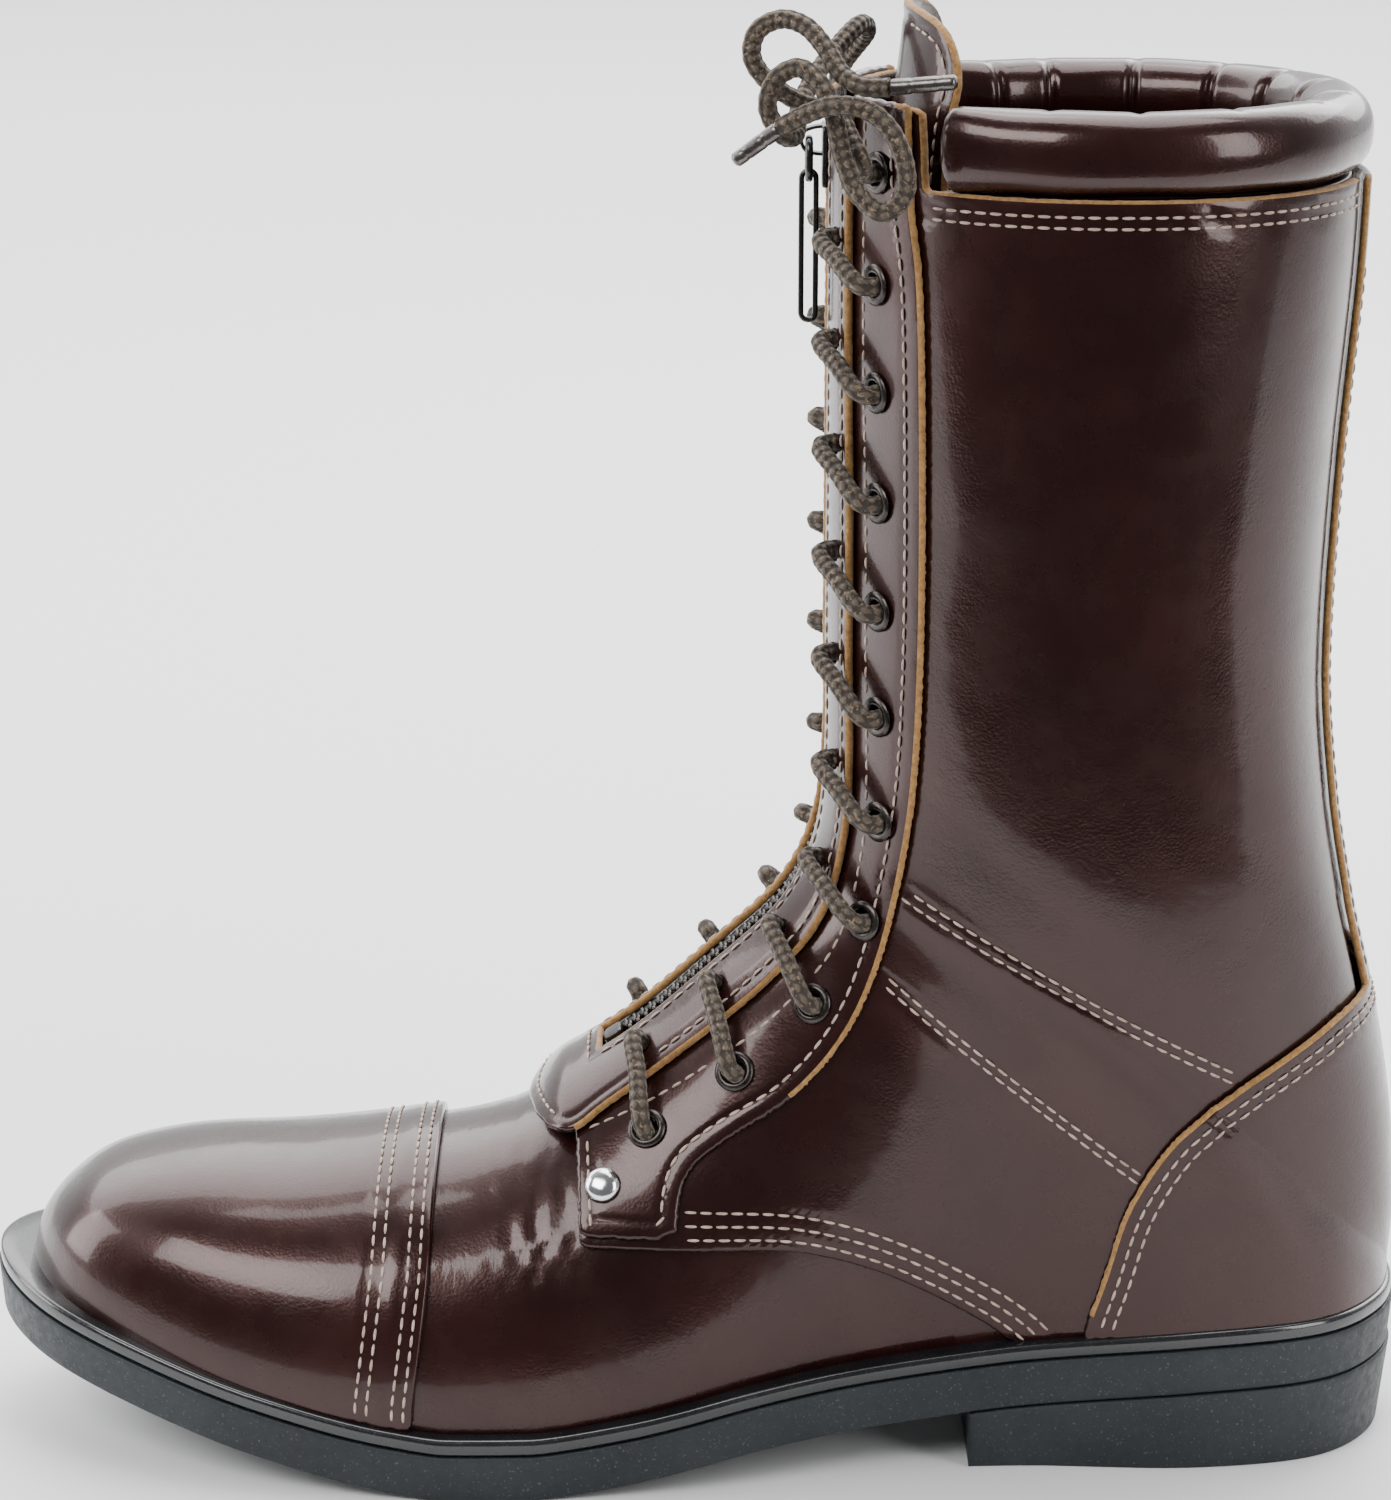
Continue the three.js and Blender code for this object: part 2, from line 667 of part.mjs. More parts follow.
const barrelRadius = eyeletBore / 2 + eyeletWall;
const barrelHoleWidth = 2 * (barrelRadius + gap) / Math.cos(Math.PI / 6);
const rivet = { domeWidth: 7.6, domeHigh: 2.2, pinWidth: 2.6, x: along(-18.5), z: 62.5 };
const rivetPlaces = {};
for (const [name, side] of Object.entries(sides)) {
  rivetPlaces[name] = placeNear(rivet.x, rivet.z, side);
}
const rivetHole = (name) =>
  rod(rivetPlaces[name].out(-3), rivetPlaces[name].out(12), rivet.pinWidth / 2 + gap, 8);
add(vampWhole.subtract(rivetHole("lateral")).subtract(rivetHole("medial")), "vamp", polishedLeather);

for (const [name, side] of Object.entries(sides)) {
  const nearHalf = block(-200, 200, -wide, -gap / 2, -10, 400);
  const half = side < 0 ? nearHalf : nearHalf.mirror([0, 1, 0]);
  const eyeletHoles = holeCutter(eyeletPlaces[name], barrelHoleWidth, -3, 12);
  const quarter = quarterLayer.intersect(half).subtract(eyeletHoles).subtract(rivetHole(name));
  add(quarter, "quarter_" + name, polishedLeather);
  const eyestay = layer(overlayIn, overlayOut, 6)
    .intersect(cut.eyestayZone)
    .subtract(cut.frontStrip)
    .intersect(block(-200, 200, -wide, wide, 0, bootHeight))
    .intersect(half)
    .subtract(eyeletHoles)
    .subtract(rivetHole(name));
  add(eyestay, "eyestay_" + name, polishedLeather);
}

const heelCounter = layer(-stiffenerThick, 0, 8).intersect(heelZone).subtract(weltRoom);
add(heelCounter, "heel_counter", board);

const heelLining = layer(liningIn, liningOut, 8).intersect(heelZone).subtract(weltRoom);
add(heelLining, "heel_lining", liningLeather);

const counterCover = layer(overlayIn, overlayOut, 8).intersect(cut.counterZone).subtract(weltRoom);
add(counterCover, "counter_cover", polishedLeather);

const backstay = layer(overlayIn, overlayOut, cornerStation)
  .intersect(block(60, 200, -backstayHalf, backstayHalf, 60, quarterTop))
  .subtract(cut.counterZoneGrown);
add(backstay, "backstay", polishedLeather);

const vampZoneGrown = sidePrism([
  [-200, -10],
  [along(94), -10],
  ...shifted(quarterEdge, quarterLap + gap).reverse().filter(([x]) => x > throatX),
  [throatX + gap, 52 + quarterLap + gap],
  [throatX + gap, 400],
  [-200, 400],
]);
const laceSpaceHalf = 37.5;
const shaftLining = layer(-stiffenerThick, 0, 7)
  .intersect(block(-200, 200, -wide, wide, 0, quarterTop))
  .subtract(heelZoneGrown)
  .subtract(vampZoneGrown)
  .subtract(laceSpace())
  .subtract(weltRoom);
add(shaftLining, "shaft_lining", liningLeather);

// The room behind the eyestays that the lace runs in, from the throat to the top.
function laceSpace() {
  return block(-200, 200, -laceSpaceHalf, laceSpaceHalf, 40, 400).intersect(
    sidePrism(lengthened([[-60, 60], [20, 60], [52, 100], [60, 140], [60, 400], [-60, 400]])),
  );
}

// ---- Collar: a padded roll from one eyestay round the back to the other ----
const collarHigh = bootHeight - quarterTop - gap;
const collarStation = topStation - 1 + (shaftRow - collarDrop + gap + collarHigh / 2) / (shaftRow + topRow);
function collarSolid() {
  const rings = [];
  const around = 10;
  const firstT = 0.256; // where it starts, round the section from the front line
  const fullT = 0.36; // where it reaches its full thickness, clear of the tongue's edge
  const steps = 11; // from the start to the back
  for (let i = 0; i <= 2 * steps; i += 1) {
    const side = i <= steps ? -1 : 1;
    const along = i <= steps ? i / steps : (2 * steps - i) / steps;
    const t = mix(firstT, 1, along);
    const place = placeAtT(collarStation, t, side);
    const outward = place.normal.clone().setZ(0).normalize();
    const slim = mix(collarSlim, 0, ease((t - firstT) / (fullT - firstT)));
    rings.push(
      Array.from({ length: around }, (_, j) => {
        const angle = (j / around) * 2 * Math.PI;
        const level = (collarHalfThick - slim) * Math.cos(angle) - collarSetIn + slim;
        const out = outward.clone().multiplyScalar(level);
        const high = quarterTop + gap + (collarHigh / 2) * (1 + Math.sin(angle));
        return new THREE.Vector3(place.at.x + out.x, i === steps ? 0 : place.at.y + out.y, high);
      }),
    );
  }
  return ringSolid(rings);
}

// A closed solid through rings of points, capped flat at both ends.
function ringSolid(rings) {
  const around = rings[0].length;
  const positions = rings.flat().flatMap((point) => point.toArray());
  const triangles = [];
  for (let i = 0; i < rings.length - 1; i += 1) {
    for (let j = 0; j < around; j += 1) {
      const a = i * around + j;
      const b = i * around + ((j + 1) % around);
      triangles.push(a, b, b + around, a, b + around, a + around);
    }
  }
  const last = (rings.length - 1) * around;
  for (let j = 1; j < around - 1; j += 1) {
    triangles.push(0, j + 1, j, last, last + j, last + j + 1);
  }
  const geometry = new THREE.BufferGeometry();
  geometry.setAttribute("position", new THREE.Float32BufferAttribute(positions, 3));
  geometry.setIndex(triangles);
  const solid = manifoldOf(geometry);
  if (solid.volume() > 0) return solid;
  geometry.setIndex(triangles.reverse());
  return manifoldOf(geometry);
}
add(collarSolid().intersect(behindEyestay.translate([gap, 0, 0])), "collar", polishedLeather);

// ---- Tongue ----
const tongueLean = 5; // how far its top stands back
const tongueHeight = bootHeight + tongueRise;
const tongueLevel = (depth) => (point) =>
  depth - tongueLean * ease((point.at.z - bootHeight + shaftRow) / (shaftRow + topRow - 2));
const tongueTop = flowing([
  [-tongueHalf, tongueHeight - 47],
  [-tongueHalf + 1.5, tongueHeight - 24],
  [-tongueHalf + 0.5, tongueHeight - 14],
  [-tongueHalf + 3, tongueHeight - 7],
  [-tongueHalf + 9, tongueHeight - 2.5],
  [-tongueHalf + 22, tongueHeight - 0.3],
  [0, tongueHeight],
  [tongueHalf - 22, tongueHeight - 0.3],
  [tongueHalf - 9, tongueHeight - 2.5],
  [tongueHalf - 3, tongueHeight - 7],
  [tongueHalf - 0.5, tongueHeight - 14],
  [tongueHalf - 1.5, tongueHeight - 24],
  [tongueHalf, tongueHeight - 47],
]);
const tongueZone = frontPrism([...tongueTop, [tongueHalf, 40], [-tongueHalf, 40]], along(-24), along(80));
const tongue = layer(tongueLevel(tongueOut - tongueThick), tongueLevel(tongueOut), 7)
  .intersect(tongueZone)
  .intersect(sidePrism(lengthened([[-24, 64], [20, 64], [58, 100], [66, 140], [66, 400], [-24, 400]])));
add(tongue, "tongue", polishedLeather);

// ---- Zip panel: two strips that meet in a rounded base tab lying on the vamp ----
const tabEndX = along(-35);
const tabHalf = 23.5;
const panelRise = (point) => ease((point.at.x - (tabEndX - 3)) / 13);
const panelLevel = (depth) => (point) => mix(gap + depth - panelIn, depth, panelRise(point));
const tabOutline = flowing(lengthened([
  [16, -panelHalf],
  [-4, -panelHalf],
  [-16, -panelHalf - 1.5],
  [-25, -tabHalf],
  [-31.5, -tabHalf + 7],
  [-35, 0],
  [-31.5, tabHalf - 7],
  [-25, tabHalf],
  [-16, panelHalf + 1.5],
  [-4, panelHalf],
  [16, panelHalf],
]));
function topPrism(points) {
  const shape = new THREE.Shape(points.map(([x, y]) => new THREE.Vector2(x, y)));
  const geometry = new THREE.ExtrudeGeometry(shape, { depth: 400, bevelEnabled: false });
  return manifoldOf(geometry);
}
const panelOutline = topPrism([...tabOutline, [shaftFront + 40, panelHalf], [shaftFront + 40, -panelHalf]]);
const zipBottomX = along(-17);
const slot = block(zipBottomX, shaftFront + 30, -panelSlotHalf, panelSlotHalf, 40, 400);
const holeCutters = Object.keys(sides)
  .map((name) => holeCutter(holePlaces[name], laceHoleWidth, -3, 14))
  .reduce((all, next) => all.add(next));
const zipPanel = layer(panelLevel(panelIn), panelLevel(panelOut), 6)
  .intersect(panelOutline)
  .intersect(block(along(-60), shaftFront + 30, -wide, wide, 0, bootHeight - 2))
  .subtract(slot)
  .subtract(holeCutters);
add(zipPanel, "zip_panel", polishedLeather);

const teethHigh = panelIn + teethProud;
const teethLow = teethHigh - teethThick;
const zipTop = bootHeight - 7;
for (const [name, side] of Object.entries(sides)) {
  const strip = (near, far, low, high, bottom) => {
    const [yLow, yHigh] = [side * near, side * far].sort((a, b) => a - b);
    return layer(low, high, 7).intersect(block(bottom, shaftFront + 30, yLow, yHigh, 40, zipTop));
  };
  const tape = strip(teethHalf + gap, tapeHalf, panelIn - gap - tapeThick, panelIn - gap, zipBottomX + gap);
  add(tape, "zip_tape_" + name, tapeCloth);
  const teeth = strip(teethSplit, teethHalf, teethLow, teethLow + teethThick, zipBottomX + 4.4);
  add(teeth, "zip_teeth_" + name, gunmetal);
}
const stop = layer(teethLow, teethLow + teethThick + 0.4, 7).intersect(
  block(zipBottomX + gap, zipBottomX + 4, -teethHalf, teethHalf, 40, 400),
);
add(stop, "zip_bottom_stop", gunmetal);

// ---- Slider, bail ring and pull ----
const slider = {
  half: 4.9,
  long: 13,
  plate: 1.3,
  top: zipTop - 1,
  clear: 0.6, // between the teeth and its two plates
};
const frontAt = (level) => shaftFront - level;
const lowerPlate = block(
  frontAt(teethLow - slider.clear), frontAt(teethLow - slider.clear - slider.plate),
  -slider.half, slider.half, slider.top - slider.long, slider.top,
);
const upperPlate = block(
  frontAt(teethHigh + slider.clear + slider.plate), frontAt(teethHigh + slider.clear),
  -slider.half, slider.half, slider.top - slider.long, slider.top,
);
const postHalf = teethSplit - gap;
const post = block(
  frontAt(teethHigh + slider.clear + 0.2), frontAt(teethLow - slider.clear - 0.2),
  -postHalf, postHalf, slider.top - 4.5, slider.top,
);
const bailPin = {
  x: frontAt(teethHigh + slider.clear + slider.plate + 2.6),
  z: slider.top - 3.4,
  radius: 0.8,
};
const bridgeHole = rod(
  new THREE.Vector3(bailPin.x, -6, bailPin.z),
  new THREE.Vector3(bailPin.x, 6, bailPin.z),
  bailPin.radius + gap,
  10,
);
const bridge = block(
  bailPin.x - 2, frontAt(teethHigh + slider.clear + slider.plate - 0.2),
  -1.5, 1.5, bailPin.z - 2.4, bailPin.z + 2.4,
).subtract(bridgeHole);
const sliderSolid = lowerPlate.add(upperPlate).add(post).add(bridge);

// A wire ring in a plane, through flat outline points, as a closed rectangular frame with rounded ends.
function wireRing(halfWide, low, high, radius, upright) {
  const corner = Math.min(halfWide, 2.6);
  const points = [];
  const arc = (cx, cz, from) => {
    for (let i = 0; i <= 3; i += 1) {
      const angle = from + (i / 3) * (Math.PI / 2);
      points.push([cx + corner * Math.cos(angle), cz + corner * Math.sin(angle)]);
    }
  };
  arc(halfWide - corner, high - corner, 0);
  arc(-halfWide + corner, high - corner, Math.PI / 2);
  arc(-halfWide + corner, low + corner, Math.PI);
  arc(halfWide - corner, low + corner, (3 * Math.PI) / 2);
  const clean = points.filter(
    ([x, z], i) => i === 0 || Math.hypot(x - points[i - 1][0], z - points[i - 1][1]) > 0.05,
  );
  const closed = Math.hypot(clean[0][0] - clean.at(-1)[0], clean[0][1] - clean.at(-1)[1]) < 0.05;
  if (closed) clean.pop();
  const rings = clean.map(([x, z], i) => {
    const before = clean[(i + clean.length - 1) % clean.length];
    const after = clean[(i + 1) % clean.length];
    const run = Math.hypot(after[0] - before[0], after[1] - before[1]);
    const outX = (after[1] - before[1]) / run;
    const outZ = -(after[0] - before[0]) / run;
    return Array.from({ length: 8 }, (_, j) => {
      const angle = ((j + 0.5) / 8) * 2 * Math.PI;
      const away = radius * Math.cos(angle);
      const rise = radius * Math.sin(angle);
      const flat = x + outX * away;
      const up = z + outZ * away;
      return upright ? new THREE.Vector3(flat, rise, up) : new THREE.Vector3(rise, flat, up);
    });
  });
  return loopSolid(rings);
}

// A closed solid through rings of points whose last ring joins the first.
function loopSolid(rings) {
  const around = rings[0].length;
  const count = rings.length;
  const positions = rings.flat().flatMap((point) => point.toArray());
  const triangles = [];
  for (let i = 0; i < count; i += 1) {
    const next = (i + 1) % count;
    for (let j = 0; j < around; j += 1) {
      const k = (j + 1) % around;
      triangles.push(i * around + j, i * around + k, next * around + k);
      triangles.push(i * around + j, next * around + k, next * around + j);
    }
  }
  const geometry = new THREE.BufferGeometry();
  geometry.setAttribute("position", new THREE.Float32BufferAttribute(positions, 3));
  geometry.setIndex(triangles);
  const solid = manifoldOf(geometry);
  if (solid.volume() > 0) return solid;
  geometry.setIndex(triangles.reverse());
  return manifoldOf(geometry);
}

const bail = { half: 3.4, high: 9.6, radius: 0.8 };
const pull = { half: 1.5, high: 31, radius: 0.6 };
const bailSolid = wireRing(bail.half, -bail.high + bail.radius * 2, 0, bail.radius, false)
  .translate([bailPin.x, 0, bailPin.z]);
const pullPin = { x: bailPin.x, z: bailPin.z - bail.high + bail.radius * 2 };
const pullSolid = wireRing(pull.half, pull.half - pull.high, pull.half, pull.radius, true)
  .translate([pullPin.x, 0, pullPin.z]);
add(sliderSolid, "zip_slider", blackMetal);
add(bailSolid, "zip_bail", blackMetal);
add(pullSolid, "zip_pull", blackMetal);

// ---- Eyelets and rivets ----
function turned(profile, sides, place) {
  const geometry = new THREE.LatheGeometry(
    profile.map(([radius, high]) => new THREE.Vector2(radius, high)),
    sides,
  );
  const turn = new THREE.Quaternion().setFromUnitVectors(new THREE.Vector3(0, 1, 0), place.normal);
  geometry.applyQuaternion(turn);
  geometry.translate(place.at.x, place.at.y, place.at.z);
  return manifoldOf(geometry);
}
const eyeletProfile = [
  [eyeletBore / 2, quarterIn - 0.6],
  [barrelRadius, quarterIn - 0.6],
  [barrelRadius, eyeletSeat],
  [flangeWidth / 2, eyeletSeat],
  [flangeWidth / 2 - 0.3, eyeletSeat + flangeThick],
  [eyeletBore / 2, eyeletSeat + flangeThick],
  [eyeletBore / 2, quarterIn - 0.6],
];
const rivetProfile = [
  [0, quarterIn - 0.4],
  [rivet.pinWidth / 2, quarterIn - 0.4],
  [rivet.pinWidth / 2, eyeletSeat],
  [rivet.domeWidth / 2, eyeletSeat],
  [rivet.domeWidth * 0.42, eyeletSeat + 0.55 * rivet.domeHigh],
  [rivet.domeWidth * 0.2, eyeletSeat + 0.92 * rivet.domeHigh],
  [0, eyeletSeat + rivet.domeHigh],
];
for (const name of Object.keys(sides)) {
  eyeletPlaces[name].forEach((place, level) => {
    add(turned(eyeletProfile, 8, place), "eyelet_" + name + "_" + (level + 1), gunmetal);
  });
  add(turned(rivetProfile, 10, rivetPlaces[name]), "rivet_" + name, chrome);
}

// ---- Sole ----
const outsole = slab(0, 0.8, underside, (x) => underside(x) + outsoleThick);
add(outsole, "outsole", rubber);

const breastX = heelX - along(95);
const heelBlock = slab(0.4, 2.4, () => 0, (x) => underside(x) - gap, 7.4)
  .intersect(block(breastX, 200, -wide, wide, -1, 60));
add(heelBlock, "heel_block", rubber);

const welt = slab(0.4, 0.4, weltLow, featherHeight)
  .subtract(slab(weltWidth, weltWidth, below(weltLow), above(featherHeight)));
add(welt, "welt", glossRubber);

const shank = { half: 8, thick: 1.6, front: along(-8), back: along(104) };
const shankSlotFloor = (x) => featherHeight(x) - shank.thick - 3 * gap;
const shankSlot = slab(20, 20, shankSlotFloor, above(featherHeight))
  .intersect(block(shank.front - gap, shank.back + gap, -shank.half - gap, shank.half + gap, 0, 90));
const filler = slab(weltWidth + gap, weltWidth + gap, weltLow, (x) => featherHeight(x) - gap)
  .subtract(shankSlot);
add(filler, "bottom_filler", cork);

const shankTop = (x) => featherHeight(x) - 2 * gap;
const shankSolid = slab(20, 20, (x) => shankTop(x) - shank.thick, shankTop)
  .intersect(block(shank.front, shank.back, -shank.half, shank.half, 0, 90));
add(shankSolid, "shank", steel);

const boardThick = 2.4;
const footbedThick = 4;
const liningDepth = leather + gap + liningThick;
const boardInset = (extra) => toeLedge + liningDepth + extra;
const insoleBoard = slab(
  boardInset(1.2), boardInset(0.2),
  (x) => featherHeight(x) + gap,
  (x) => featherHeight(x) + boardThick,
);
add(insoleBoard, "insole_board", board);
const footbed = slab(
  boardInset(3.2), boardInset(2.2),
  (x) => featherHeight(x) + boardThick + gap,
  (x) => featherHeight(x) + boardThick + footbedThick,
);
add(footbed, "footbed", foamCloth);

// ---- Laces: up through each eyelet, over the strip's edge, down its hole and under to the next ----
class HandRoute extends THREE.CatmullRomCurve3 {
  getPointAt(u, target) {
    return this.getPoint(u, target);
  }
  getTangentAt(u, target) {
    return this.getTangent(u, target);
  }
}

function tube(points, width, sides = 8) {
  const section = new THREE.Shape();
  section.absarc(0, 0, width / 2, 0, 2 * Math.PI);
  const geometry = new THREE.ExtrudeGeometry(section, {
    steps: points.length - 1,
    curveSegments: sides / 2,
    extrudePath: new HandRoute(points, false, "centripetal"),
  });
  return manifoldOf(geometry);
}

const laceOver = panelOut + laceWidth / 2 + 0.7;
const laceRise = eyeletSeat + flangeThick + laceWidth / 2 + 0.4;
function threaded(name) {
  const side = sides[name];
  const first = eyeletStations[0];
  const points = [placeAt(first + 0.12, 24, side).out(laceUnder)];
  eyeletPlaces[name].forEach((eyelet, level) => {
    points.push(eyelet.out(laceUnder), eyelet.out(laceRise));
    if (level === eyeletsPerSide - 1) return;
    const hole = holePlaces[name][level];
    const next = eyeletPlaces[name][level + 1];
    points.push(placeAt(mix(eyelet.s, hole.s, 0.6), panelHalf + laceWidth / 2 - 0.5, side).out(laceOver));
    points.push(hole.out(laceOver), hole.out(laceUnder));
    points.push(placeAt((hole.s + next.s) / 2, 24, side).out(laceUnder));
  });
  return points;
}

// The bow: each lace from its top eyelet to its aglet. Points are from the middle of the shaft's front, at
// the height of the top eyelets.
const lateralBow = [
  [-0.3, -40, 4],
  [-2.8, -35.5, 9],
  [-5.3, -31, 13],
  [-11.3, -27.5, 14],
  [-18.3, -26, 18],
  [-21.8, -25, 23],
  [-20.8, -25, 28],
  [-16.3, -26, 30.5],
  [-11.3, -29, 29.5],
  [-7.3, -33, 25.5],
  [-4.3, -37, 21],
  [-0.3, -41, 19],
  [4.7, -43, 19],
];
const medialBow = [
  [-0.8, 38.5, 4],
  [-2.8, 31, 13],
  [2.7, 19, 23.5],
  [0.7, 9, 26],
  [-5.3, -1, 21],
  [-9.8, -11, 16],
  [-12.3, -19, 11.5],
  [-13.3, -27, 7.5],
  [-16.3, -33, 9],
  [-18.8, -34, 14],
  [-17.3, -34, 19.5],
  [-12.8, -35.5, 22],
  [-8.3, -39, 19],
  [-5.8, -42, 13],
  [-4.3, -44, 6],
  [-1.3, -47, -1],
  [3.7, -49.5, -4.5],
  [7.7, -50, -1],
  [7.7, -50, 5],
  [5.2, -49, 11],
  [0.7, -47, 15],
  [-5.3, -46.5, 16],
  [-11.3, -43.5, 14],
  [-16.3, -41, 11],
];
const bows = {
  lateral: { points: lateralBow, tip: [17.7, -46.5, 20.5] },
  medial: { points: medialBow, tip: [-25.3, -38, 4] },
};
const bowMiddle = new THREE.Vector3(shaftFront, 0, topEyeletHeight);
const agletWidth = 3.2;
const agletGap = gap + 0.5; // the lace bends as it enters the tip
for (const name of Object.keys(sides)) {
  const free = bows[name].points.map((point) => new THREE.Vector3(...point).add(bowMiddle));
  const tip = new THREE.Vector3(...bows[name].tip).add(bowMiddle);
  add(tube([...threaded(name), ...free], laceWidth), "lace_" + name, laceCord);
  const away = tip.clone().sub(free.at(-1)).normalize();
  const start = free.at(-1).clone().addScaledVector(away, agletGap);
  add(rod(start, tip, agletWidth / 2, 8), "aglet_" + name, gunmetal);
}

parts.updateMatrixWorld();
export default parts;
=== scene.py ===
import math
import bpy
import numpy as np
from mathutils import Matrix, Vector


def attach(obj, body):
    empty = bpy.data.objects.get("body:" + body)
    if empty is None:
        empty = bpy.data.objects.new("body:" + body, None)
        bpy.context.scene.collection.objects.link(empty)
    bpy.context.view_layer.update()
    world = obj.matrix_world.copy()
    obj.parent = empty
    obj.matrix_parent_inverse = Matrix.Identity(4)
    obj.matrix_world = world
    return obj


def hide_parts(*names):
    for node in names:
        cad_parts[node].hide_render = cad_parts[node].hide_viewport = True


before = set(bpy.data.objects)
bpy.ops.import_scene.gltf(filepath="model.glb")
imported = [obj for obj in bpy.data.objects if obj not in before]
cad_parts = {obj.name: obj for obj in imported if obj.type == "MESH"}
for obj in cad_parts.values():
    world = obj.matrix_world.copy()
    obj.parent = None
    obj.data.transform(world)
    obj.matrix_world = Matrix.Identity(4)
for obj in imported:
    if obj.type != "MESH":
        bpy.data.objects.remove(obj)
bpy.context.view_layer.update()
print("frame loaded")

# camera: level with the calf, looking down a little at the outer side
view = dict(lens=102.53, sensor=36, at=(0.0003, -0.880, 0.392), lookDown=0.268)
camera = bpy.data.cameras.new("camera")
camera.lens = view["lens"]
camera.sensor_width = view["sensor"]
cameraObject = bpy.data.objects.new("camera", camera)
cameraObject.location = view["at"]
cameraObject.rotation_euler = (math.pi / 2 - view["lookDown"], 0, 0)
bpy.context.scene.collection.objects.link(cameraObject)
bpy.context.scene.camera = cameraObject

# sizes, in millimetres
last = dict(length=308, ballHalf=53, waistHalf=40, heelHalf=38, toeSwing=6, toeSpring=24, heelHeight=19,
            outsoleThick=10.2, weltThick=3.5, bootHeight=292, shaftFront=33.3, shaftDepth=98, shaftHalf=51.5,
            instepHeight=100, gap=0.3)
toeX, heelX = -last["length"] / 2, last["length"] / 2
top, front, depth, instep = last["bootHeight"], last["shaftFront"], last["shaftDepth"], last["instepHeight"]
ball, heel, gap = last["ballHalf"], last["heelHalf"], last["gap"]
quarterTop = top - 17
outline = np.array([[toeX, 0], [toeX + 5, 0.33 * ball], [toeX + 19, 0.62 * ball], [toeX + 45, 0.84 * ball],
    [toeX + 78, 0.965 * ball], [toeX + 112, ball], [toeX + 150, 0.93 * ball],
    [heelX - 122, last["waistHalf"]], [heelX - 85, 0.97 * heel], [heelX - 48, heel],
    [heelX - 20, 0.85 * heel], [heelX - 5, 0.48 * heel], [heelX, 0]])
outlineEnd = len(outline) - 1
spring, rise = last["toeSpring"], last["heelHeight"]
ground = [
    [toeX, spring], [toeX + 29, 0.69 * spring], [toeX + 60, 0.33 * spring], [toeX + 92, 0.05 * spring],
    [toeX + 114, -0.4], [toeX + 139, 0.13 * rise], [toeX + 164, 0.37 * rise], [toeX + 191, 0.56 * rise],
    [toeX + 222, 0.76 * rise], [toeX + 262, 0.95 * rise], [heelX, rise]]
backLine = [
    [34, heelX - 5.6], [50, heelX - 5], [72, heelX - 7], [95, heelX - 11], [115, heelX - 16],
    [140, front + depth + 2], [170, front + depth - 1], [215, front + depth], [top - 32, front + depth + 3],
    [top + 22, front + depth + 4]]
reach = last["shaftHalf"] / 0.75
# one row for each section of the last: front x, front z, end, front handle, side handle, turn
sections = np.array([
    [toeX + 10.3, 35.5, 0, 0, 0, 0], [toeX + 12.5, 43, 0.6, 7, 4, 0], [toeX + 18, 49.5, 1.15, 16, 9, 0],
    [toeX + 28, 55, 1.8, 25, 14, 0], [toeX + 46, 58.5, 2.65, 30, 20, 0], [toeX + 70, 60, 3.55, 33, 25, 0],
    [toeX + 96, 64, 4.4, 34, 29, 0], [toeX + 116, 69.5, 5.15, 32, 33, 0],
    [toeX + 141, instep - 16, 6.1, 29, 40, 0], [toeX + 160, instep, 7, 34, 50, 0],
    [front - 11, instep + 15.5, 8.3, 46, 60, 0], [front - 2.6, instep + 32, 10, 60, 60, 0.15],
    [front, 152, 12, 68, 52, 0.5], [front, 181, 80, 68, 52, 0.78], [front, 215, 140, 64, 61, 0.94],
    [front, top - 30, top - 67, reach - 1, reach - 1, 1], [front, top + 22, top + 22, reach, reach, 1]])
corner, topSection = 12, 16


def smoothRow(values, s):  # even Catmull-Rom through a list of numbers, s counted in list steps
    v, s = np.asarray(values, float), np.asarray(s, float)
    end = len(v) - 1
    i = np.clip(np.floor(s).astype(int), 0, end - 1)
    t = s - i
    b, c = v[i], v[i + 1]
    a = np.where(i > 0, v[np.maximum(i - 1, 0)], 2 * b - c)
    d = np.where(i + 2 <= end, v[np.minimum(i + 2, end)], 2 * c - b)
    return 0.5 * (2 * b + (c - a) * t + (2 * a - 5 * b + 4 * c - d) * t ** 2 + (3 * b - a - 3 * c + d)
        * t ** 3)


def heightAt(profile, x):
    xs, zs = np.array(profile, float).T
    i = np.clip(np.searchsorted(xs, x) - 1, 0, len(xs) - 2)
    return smoothRow(zs, i + np.clip((x - xs[i]) / (xs[i + 1] - xs[i]), 0, 1))


def ease(t):
    c = np.clip(t, 0, 1)
    return c * c * (3 - 2 * c)


def mix(a, b, t):
    return a + (b - a) * t


def underside(x):
    return np.maximum(0, heightAt(ground, x))


def feather(x):  # height of the welt's top
    return underside(x) + last["outsoleThick"] + gap + last["weltThick"]


def swing(x):  # the toe bends to the inner side
    return last["toeSwing"] * (np.maximum(0, -x - 40) / 114) ** 2


paddedHalf = np.concatenate([[-outline[1, 1]], outline[:, 1], [-outline[-2, 1]]])
paddedAlong = np.concatenate([[outline[1, 0]], outline[:, 0], [outline[-2, 0]]])


